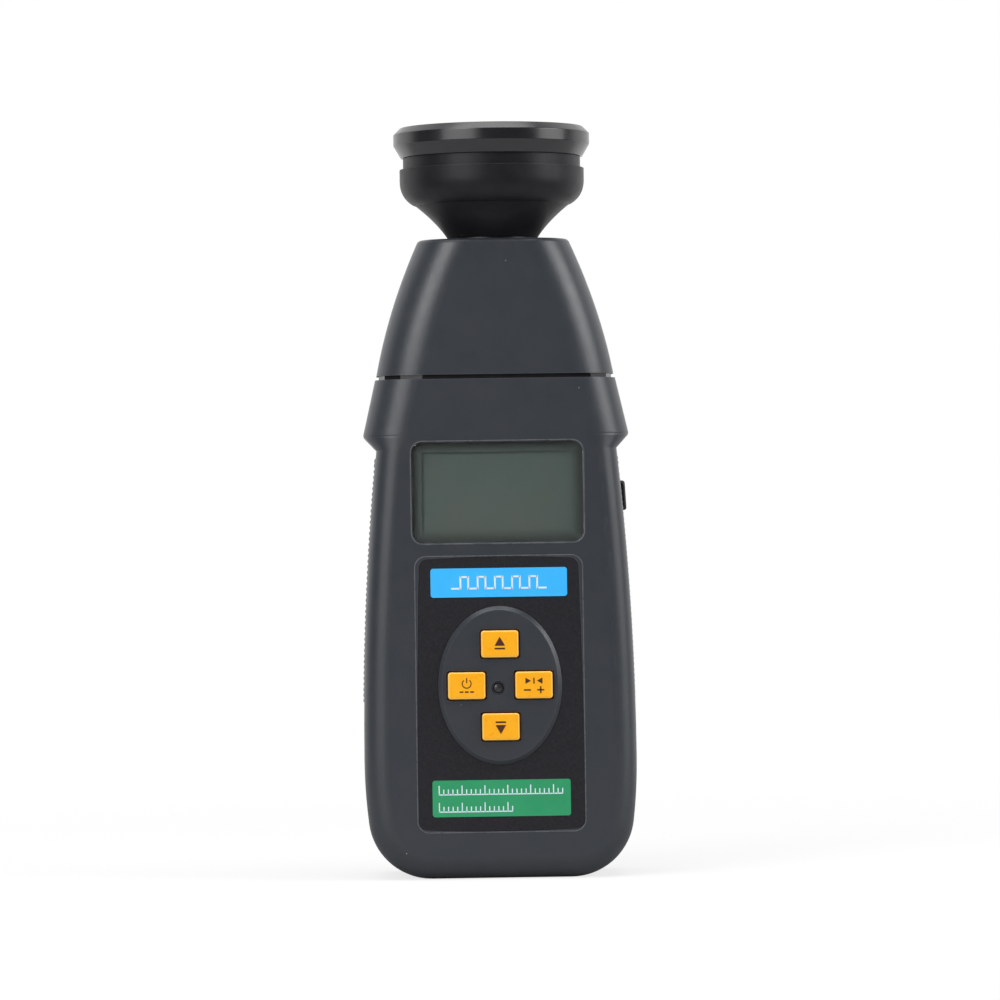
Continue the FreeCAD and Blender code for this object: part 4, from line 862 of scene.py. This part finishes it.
def key_marks():
    """One mark for each key, on the key's flat crown."""
    for name, shapes in KEY_SIGNS.items():
        centre = middle("button_" + name)
        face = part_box("button_" + name)[0].y
        parts = []
        for draw, side, up, first, second in shapes:
            second = math.radians(second) if draw is ink_triangle else second * MM
            parts.append(draw(centre.x + side * MM, centre.z + up * MM, first * MM, second, face))
        join(parts)
        close_piece("key_mark_" + name, "key_" + name, "brown_ink")


key_marks()

# %% [markdown]
# The two coloured strips carry plain drawings: a train of flash pulses on the blue one, and two rows of a
# measuring scale on the green one.

# %% Drawings on the strips
PULSES = 5
PULSE_PITCH = 4.9 * MM
PULSE_HEIGHT = 3.3 * MM
PULSE_HALF = 1.1 * MM
PULSE_STROKE = 0.5 * MM
TICK_PITCH = 1.3 * MM
TICK_STROKE = 0.3 * MM
TICK_SHORT = 1.5 * MM
TICK_TALL = 2.6 * MM
TICK_GROUP = 5
SCALE_MARGIN = 1.9 * MM
SCALE_ROWS = ((1.15 * MM, 28), (-3.75 * MM, 17))


def pulse_train():
    """Square pulses of light in time, drawn as one line."""
    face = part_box("blue_strip")[0].y
    z = middle("blue_strip").z
    base = z - PULSE_HEIGHT / 2
    rest = PULSE_PITCH - 2 * PULSE_HALF
    parts = []
    for index in range(PULSES):
        x = (index - (PULSES - 1) / 2) * PULSE_PITCH
        for side in (-PULSE_HALF, PULSE_HALF):
            parts.append(ink_bar(x + side, z, PULSE_STROKE, PULSE_HEIGHT + PULSE_STROKE, face))
        parts.append(ink_bar(x, z + PULSE_HEIGHT / 2, 2 * PULSE_HALF, PULSE_STROKE, face))
        parts.append(ink_bar(x + PULSE_PITCH / 2, base, rest, PULSE_STROKE, face))
    parts.append(ink_bar(-PULSES / 2 * PULSE_PITCH, base, rest, PULSE_STROKE, face))
    join(parts)
    close_piece("blue_strip_drawing", "case", "white_ink")


def tick_scales():
    """Two rows of a measuring scale, the second one shorter."""
    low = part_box("green_strip")[0]
    start = low.x + SCALE_MARGIN
    parts = []
    for rise, count in SCALE_ROWS:
        base = middle("green_strip").z + rise
        length = (count - 1) * TICK_PITCH
        parts.append(ink_bar(start + length / 2, base, length + TICK_STROKE, TICK_STROKE, low.y))
        for index in range(count):
            tall = TICK_SHORT if index % TICK_GROUP else TICK_TALL
            parts.append(ink_bar(start + index * TICK_PITCH, base + tall / 2, TICK_STROKE, tall, low.y))
    join(parts)
    close_piece("green_strip_drawing", "case", "white_ink")


pulse_train()
tick_scales()

# %% [markdown]
# The window is a pane of clear acrylic with a fine bevel round its face, which draws the thin light line
# round the display. Behind its edge is a film that hides the ledge it is glued to. It carries the panel's
# colour with the painted shade towards the edge, and fades into the panel.

# %% Display window and its film
WINDOW_CORNER = 3.0 * MM
WINDOW_BEVEL = 0.22 * MM
FILM_WIDTH = 2.9 * MM
FILM = 0.02 * MM


def rounded_plate(low, high, corner):
    """Plate that fills a box, with rounded upright corners seen from the front."""
    block((low + high) / 2, high - low)
    round_edges(lambda a, b: abs(a.y - b.y) > FACING * (high.y - low.y), corner, 8)


def window_pane():
    """Clear pane with a bevelled front rim."""
    rounded_plate(window_low, window_high - Vector((0, FILM, 0)), WINDOW_CORNER)
    round_edges(at_depth(window_low.y), WINDOW_BEVEL, 2)
    close_piece("window_pane", "case", "window_clear", 10, ["display_window"])


def open_frame(low, high, corner, width):
    """Narrow frame with rounded corners that fills a box and is open in the middle."""
    rounded_plate(low, high, corner)
    pick(lambda c, n: abs(n.y) > FACING)
    bpy.ops.mesh.inset(thickness=width, depth=0)
    bpy.ops.mesh.bridge_edge_loops()
    bpy.ops.object.mode_set(mode="OBJECT")


def window_shade_film():
    """Thin frame behind the pane's edge, in the panel's colour with its painted shade."""
    low = Vector((window_low.x, window_high.y - FILM, window_low.z))
    open_frame(low, window_high, WINDOW_CORNER, FILM_WIDTH)
    close_piece("window_shade_film", "case", "window_shade_film", 30)


window_pane()
window_shade_film()

# %% [markdown]
# Where the casing's face drops to the display and to the label, a fine lip runs round the recess. Its
# finish is lighter than the casing: a painted highlight that draws the thin light line. Each is a narrow
# frame on the casing's own face. Its depth is found by looking for the casing along a line from the front.

# %% Lips with a painted highlight round the display and the label
LIP_WIDTH = 0.34 * MM
LIP_PROUD = 0.06 * MM
LIP_THICK = 0.3 * MM
LIP_ROUNDING = 0.1 * MM
LIP_SHARP = math.radians(40)
DISPLAY_GAP = 0.12 * MM
LABEL_GAP = 0.1 * MM
LABEL_CORNER = 3.0 * MM
ABOVE_LIP = 1.5 * MM
BEFORE_CASING = -60.0 * MM


def casing_face(x, z):
    """Front face of the casing at a place, found by a ray from the front."""
    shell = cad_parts["front_shell"]
    return shell.ray_cast(Vector((x, BEFORE_CASING, z)), Vector((0, 1, 0)))[1].y


def highlight_lip(name, low, high, corner, gap):
    """Thin raised lip round a recess, whose lighter finish is a painted highlight line."""
    face = casing_face((low.x + high.x) / 2, high.z + gap + ABOVE_LIP)
    print(name, "face", round(face / MM, 2))
    grow = gap + LIP_WIDTH
    outer_low = Vector((low.x - grow, face - LIP_PROUD, low.z - grow))
    outer_high = Vector((high.x + grow, face - LIP_PROUD + LIP_THICK, high.z + grow))
    open_frame(outer_low, outer_high, corner + grow, LIP_WIDTH)
    modifier("BEVEL", width=LIP_ROUNDING, segments=3, limit_method="ANGLE", angle_limit=LIP_SHARP)
    close_piece(name, "case", "lip_painted_highlight", 40)


label_low, label_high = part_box("front_label")
highlight_lip("display_edge", window_low, window_high, WINDOW_CORNER, DISPLAY_GAP)
highlight_lip("label_edge", label_low, label_high, LABEL_CORNER, LABEL_GAP)

# %% [markdown]
# The lamp housing and its screw ring are turned from black stock and lacquered. Their gloss shows every
# edge, so they are modelled again as spun profiles with a fine radius on each edge: a single point is
# pulled along the profile, the profile is spun once round the lamp axis, and a bevel rounds what is
# sharp.

# %% Turned lamp parts
TURN_STEPS = 144
SHARP = math.radians(24)
housing_low, housing_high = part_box("lamp_housing")
ring_low, ring_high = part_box("lens_ring")


def turned_piece(profile, rounding):
    """Spin a closed profile of (radius, height) points about the lamp axis and round its edges."""
    spin_profile(profile + profile[:1], TURN_STEPS)
    modifier("BEVEL", width=rounding, segments=2, limit_method="ANGLE", angle_limit=SHARP,
             use_clamp_overlap=True)


def bend(start, shift, end, count):
    """Points of a quadratic curve from start to end, whose middle is shifted off the straight line."""
    centre = [(a + b) / 2 + move for a, b, move in zip(start, end, shift)]
    points = [start]
    for index in range(1, count):
        t = index / count
        weights = ((1 - t) * (1 - 2 * t), 4 * t * (1 - t), t * (2 * t - 1))
        points.append(tuple(sum(w * p[k] for w, p in zip(weights, (start, centre, end))) for k in (0, 1)))
    return points + [end]


# Radii of the housing, from the neck outwards.
NECK_BORE = 7.5 * MM
NECK = 10.0 * MM
SOCKET = 12.0 * MM
CONE_LOW = 12.9 * MM
CONE_INNER = 20.3 * MM
CONE_HIGH = 22.2 * MM
BELL_START = 22.55 * MM
THROAT = 23.4 * MM
REFLECTOR_RIM = 24.2 * MM
INNER = 24.6 * MM
THREAD = 25.0 * MM
GROOVE = 25.5 * MM
# Heights of the housing, from the washer upwards.
WASHER_TOP = 183.1 * MM
FLOOR_Z = 187.0 * MM
SOCKET_TOP = 190.3 * MM
BELL_LOW = 192.8 * MM
CONE_TOP = 195.4 * MM
BAND_LOW = 200.0 * MM
BELL_TOP = 203.1 * MM
REFLECTOR_SEAT = 1.2 * MM
CONE_HOLLOW = (-0.75 * MM, 0)
BELL_BULGE = (1.035 * MM, -0.69 * MM)
BELL_ROUNDING = 0.14 * MM


def lamp_bell():
    """Bell, cone and neck of the lamp housing."""
    bell = housing_high.x
    rim = housing_high.z
    seat = rim - REFLECTOR_SEAT
    profile = [(NECK_BORE, housing_low.z), (NECK, housing_low.z), (NECK, WASHER_TOP)]
    profile += bend((CONE_LOW, WASHER_TOP), CONE_HOLLOW, (CONE_HIGH, BELL_LOW), 10)
    profile += bend((BELL_START, BELL_LOW), BELL_BULGE, (bell, BAND_LOW), 14)
    profile += [(bell, BELL_TOP), (GROOVE, BELL_TOP), (GROOVE, ring_low.z), (THREAD, ring_low.z),
                (THREAD, rim), (REFLECTOR_RIM, rim), (REFLECTOR_RIM, seat), (THROAT, seat),
                (THROAT, BELL_TOP), (INNER, BELL_TOP - REFLECTOR_SEAT), (INNER, BAND_LOW),
                (CONE_INNER, CONE_TOP), (SOCKET, SOCKET_TOP), (SOCKET, FLOOR_Z), (NECK_BORE, FLOOR_Z)]
    turned_piece(profile, BELL_ROUNDING)
    close_piece("lamp_bell", "case", "lamp_black", 30, ["lamp_housing"])


RING_BORE = 25.05 * MM
RING_FOOT = 26.1 * MM
RING_LIP = 23.6 * MM
LIP_EDGE = 24.6 * MM
LIP_DROP = 1.0 * MM
FOOT_RISE = 3.6 * MM
RING_SLOPE = 1.9 * MM
LENS_TOP = 212.3 * MM
RING_ROUNDING = 0.16 * MM


def screw_ring():
    """Ring that holds the lens: a foot cone, a polished band, a bevelled top and an inner lip."""
    foot = ring_low.z
    outer = ring_high.x
    top = ring_high.z
    profile = [(RING_BORE, foot), (RING_FOOT, foot), (outer, foot + FOOT_RISE), (outer, top - RING_SLOPE),
               (outer - RING_SLOPE, top), (LIP_EDGE, top), (RING_LIP, top - LIP_DROP), (RING_LIP, LENS_TOP),
               (RING_BORE, LENS_TOP)]
    turned_piece(profile, RING_ROUNDING)
    close_piece("lamp_ring", "screw_ring", "ring_black", 30, ["lens_ring"])


lamp_bell()
screw_ring()

# %% [markdown]
# Both flanks of the handle carry fine cross ribs for grip. From the front they only show as small teeth
# on the outline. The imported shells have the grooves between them, and this skin gives the ribs their
# rounded crests. A grid with a row on each groove and each rib is laid on the flank with the Shrinkwrap
# modifier. The rows on the ribs are pulled outwards, the rim is sunk into the wall, and a subdivision
# rounds the teeth.

# %% Grip ribs
RIB_PITCH = 1.6 * MM
RIB_PROUD = 0.62 * MM
RIB_SINK = 0.15 * MM
RIB_SKIN = 0.3 * MM
RIB_COLUMNS = 8
GRIP_OUT = 45.0 * MM


def grip_ribs(name, side, shell, y_range, z_range):
    """Ribbed skin on one flank of one shell; side is 1 for the right flank and -1 for the left one."""
    count = int((z_range[1] - z_range[0]) / RIB_PITCH)
    rows = 2 * count
    centre = Vector((side * GRIP_OUT, sum(y_range) / 2, z_range[0] + count * RIB_PITCH / 2))
    clear_selection()
    bpy.ops.mesh.primitive_grid_add(x_subdivisions=rows, y_subdivisions=RIB_COLUMNS, size=1.0,
                                    location=centre, rotation=(0, math.radians(90), 0))
    bpy.context.object.scale = (count * RIB_PITCH, y_range[1] - y_range[0], 1)
    apply_place()
    modifier("SHRINKWRAP", target=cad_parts[shell], wrap_method="PROJECT", use_project_x=True,
             use_positive_direction=side < 0, use_negative_direction=side > 0)
    edit()

    def row_of(point):
        return round((point.z - z_range[0]) / (RIB_PITCH / 2))

    def on_rim(point):
        near_y = min(point.y - y_range[0], y_range[1] - point.y) < MM / 10
        return near_y or row_of(point) in (0, rows)

    def on_rib(a, b):
        return row_of(a) == row_of(b) and row_of(a) % 2 == 1 and not on_rim(a) and not on_rim(b)

    pick(on_rib, "EDGE")
    bpy.ops.transform.translate(value=(side * RIB_PROUD, 0, 0))
    pick(lambda a, b: on_rim(a) and on_rim(b), "EDGE")
    bpy.ops.transform.translate(value=(-side * RIB_SINK, 0, 0))
    bpy.ops.mesh.select_all(action="SELECT")
    bpy.ops.mesh.normals_make_consistent(inside=False)
    bpy.ops.object.mode_set(mode="OBJECT")
    outward = bpy.context.object.data.polygons[0].normal.x * side > 0
    if not outward:
        edit(True)
        bpy.ops.mesh.flip_normals()
        bpy.ops.object.mode_set(mode="OBJECT")
    modifier("SUBSURF", levels=1, render_levels=1)
    modifier("SOLIDIFY", thickness=RIB_SKIN, offset=-1.0)
    close_piece(name, "case", "shell_plastic", 60)


GRIP_LOW = 50.0 * MM
GRIP_HIGH = 121.5 * MM
side_low, side_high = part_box("side_button")
FRONT_GRIP = (-10.0 * MM, -1.2 * MM)
REAR_GRIP = (0.9 * MM, 10.0 * MM)
BUTTON_CLEAR = 0.6 * MM
below_button = side_low.z - BUTTON_CLEAR
for half, y_range, right_top in (("front", FRONT_GRIP, GRIP_HIGH), ("rear", REAR_GRIP, below_button)):
    grip_ribs("grip_ribs_" + half + "_left", -1, half + "_shell", y_range, (GRIP_LOW, GRIP_HIGH))
    grip_ribs("grip_ribs_" + half + "_right", 1, half + "_shell", y_range, (GRIP_LOW, right_top))

# %% [markdown]
# The flash key on the right flank is a black cap that stands out parallel to the sloping wall. It starts
# as a block in the wall's opening. Its corners are rounded, its outer face is tilted to the slope, its
# rim is rounded, and its inner end is widened into a flange that keeps it in.

# %% Flash key on the right flank
SIDE_FLANGE = 1.0 * MM
SIDE_CORNER = 1.5 * MM
SIDE_RIM = 0.7 * MM
SIDE_PROUD = 2.0 * MM
FLANK_STEP = 3.0 * MM
FLANK_BESIDE = 1.2 * MM


def flank_at(z):
    """Half width of the handle's right flank at a height, and the wall's slope there."""
    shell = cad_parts["rear_shell"]
    widths = []
    for height in (z - FLANK_STEP, z + FLANK_STEP):
        start = Vector((GRIP_OUT, side_low.y - FLANK_BESIDE, height))
        found, place = shell.ray_cast(start, Vector((-1, 0, 0)))[:2]
        widths.append(place.x if found else side_high.x)
    return sum(widths) / 2, math.atan2(widths[1] - widths[0], 2 * FLANK_STEP)


def flash_key():
    """Black cap with rounded corners, whose face runs parallel to the wall."""
    centre = middle("side_button")
    width, slope = flank_at(centre.z)
    print("flank", round(width / MM, 2), "mm, slope", round(math.degrees(slope), 1), "degrees")
    depth = side_high.y - side_low.y - 2 * SIDE_FLANGE
    height = side_high.z - side_low.z - 2 * SIDE_FLANGE
    outer = width + SIDE_PROUD
    inner = side_low.x
    block(((inner + SIDE_FLANGE + outer) / 2, centre.y, centre.z),
          (outer - inner - SIDE_FLANGE, depth, height))
    round_edges(lambda a, b: abs(a.x - b.x) > MM, SIDE_CORNER, 6)
    pick(lambda c, n: n.x > FACING)
    bpy.ops.transform.rotate(value=-slope, orient_axis="Y", center_override=(outer, centre.y, centre.z))
    round_edges(lambda a, b: min(a.x, b.x) > width - MM / 2, SIDE_RIM, 5)
    pick(lambda c, n: n.x < -FACING)
    pull((-NEAR, 0, 0))
    bpy.ops.transform.resize(value=(1, 1 + 2 * SIDE_FLANGE / depth, 1 + 2 * SIDE_FLANGE / height),
                             center_override=(inner, centre.y, centre.z))
    pull((2 * NEAR - SIDE_FLANGE, 0, 0))
    close_piece("flash_key", "side_key", "black_plastic", 40, ["side_button"])


flash_key()

# %% [markdown]
# The small light in the middle of the keys is a smoked dome in a round hole. A half outline of it is spun
# about the hole's axis.

# %% Smoked light
LIGHT_DOME = 0.45 * MM
LIGHT_RADIUS = 1.5 * MM
DOME_OUTLINE = ((0.0, 0.0), (0.35, 0.1), (0.65, 0.36), (0.88, 0.72), (1.0, 1.25))
SMALL_STEPS = 48


def smoked_light():
    """Dome and shaft of the light, spun about a line that runs from front to back."""
    low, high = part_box("indicator_pipe")
    foot = middle("indicator_pipe")
    foot.y = 0
    front = low.y - LIGHT_DOME / 2
    profile = [(out * LIGHT_RADIUS, front + back * LIGHT_DOME) for out, back in DOME_OUTLINE]
    spin_profile(profile + [(LIGHT_RADIUS, high.y), (0, high.y)], SMALL_STEPS, foot, (0, 1, 0))
    close_piece("smoked_light", "case", "indicator_dark", 40, ["indicator_pipe"])


smoked_light()

# %% [markdown]
# The four cells show when the battery door is open. Each is a steel can in a printed jacket: the jacket's
# ends are rolled over the can, one end has the nub and the other is flat. They lie head to tail.

# %% Battery cells
CELLS = 4
CELL_RADIUS = 7.25 * MM
CELL_BODY = 49.2 * MM
CELL_LENGTH = 50.5 * MM
CELL_PITCH = 14.9 * MM
CELL_SPRING = 4.5 * MM
JACKET = 0.175 * MM
JACKET_TOP = 36.0 * MM
PLATE = 0.5 * MM


def cell_outlines():
    """Outlines of can, jacket and band in millimetres, as (inset from the jacket's face, height) pairs."""
    body = CELL_BODY / MM
    top = JACKET_TOP / MM
    skin = JACKET / MM
    nub = CELL_LENGTH / MM
    axis = CELL_RADIUS / MM
    can = ((axis, 0.25), (2.2, 0.25), (1.5, 0.05), (0.35, 0.3), (0.35, body - 0.3), (1.6, body - 0.1),
           (4.35, body - 0.3), (4.5, body - 0.2), (4.5, nub - 0.3), (4.8, nub), (axis, nub))
    jacket = ((1.1, 0.1), (0.25, 0.0), (0.0, 0.3), (0.0, top), (skin, top), (skin, 1.0), (1.1, 0.1))
    band = ((skin, top), (0.0, top), (0.0, body - 0.3), (0.3, body), (1.3, body), (1.3, body - 0.2),
            (skin, body - 1.0), (skin, top))
    return (("can", "cell_end_steel", can), ("jacket", "cell_jacket", jacket), ("band", "cell_band", band))


def battery_cells():
    """Spin each part of the cell once, and copy it to the four places, every other one turned over."""
    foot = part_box("battery_plates")[0].z + PLATE
    depth = middle("battery_cells").y
    for label, slot, outline in cell_outlines():
        profile = [(CELL_RADIUS - inset * MM, height * MM) for inset, height in outline]
        first = spin_profile(profile, SMALL_STEPS)
        copies = [copy_of(first) for place in range(CELLS)]
        bpy.data.objects.remove(first)
        for index, copy in enumerate(copies):
            over = index % 2
            copy.rotation_euler = (over * math.pi, 0, 0)
            x = (index - (CELLS - 1) / 2) * CELL_PITCH
            copy.location = (x, depth, foot + (CELL_LENGTH if over else CELL_SPRING))
            activate(copy)
            apply_place()
        join(copies)
        close_piece("cell_" + label, "case", slot, 35, ["battery_cells"] if label == "can" else [])


battery_cells()
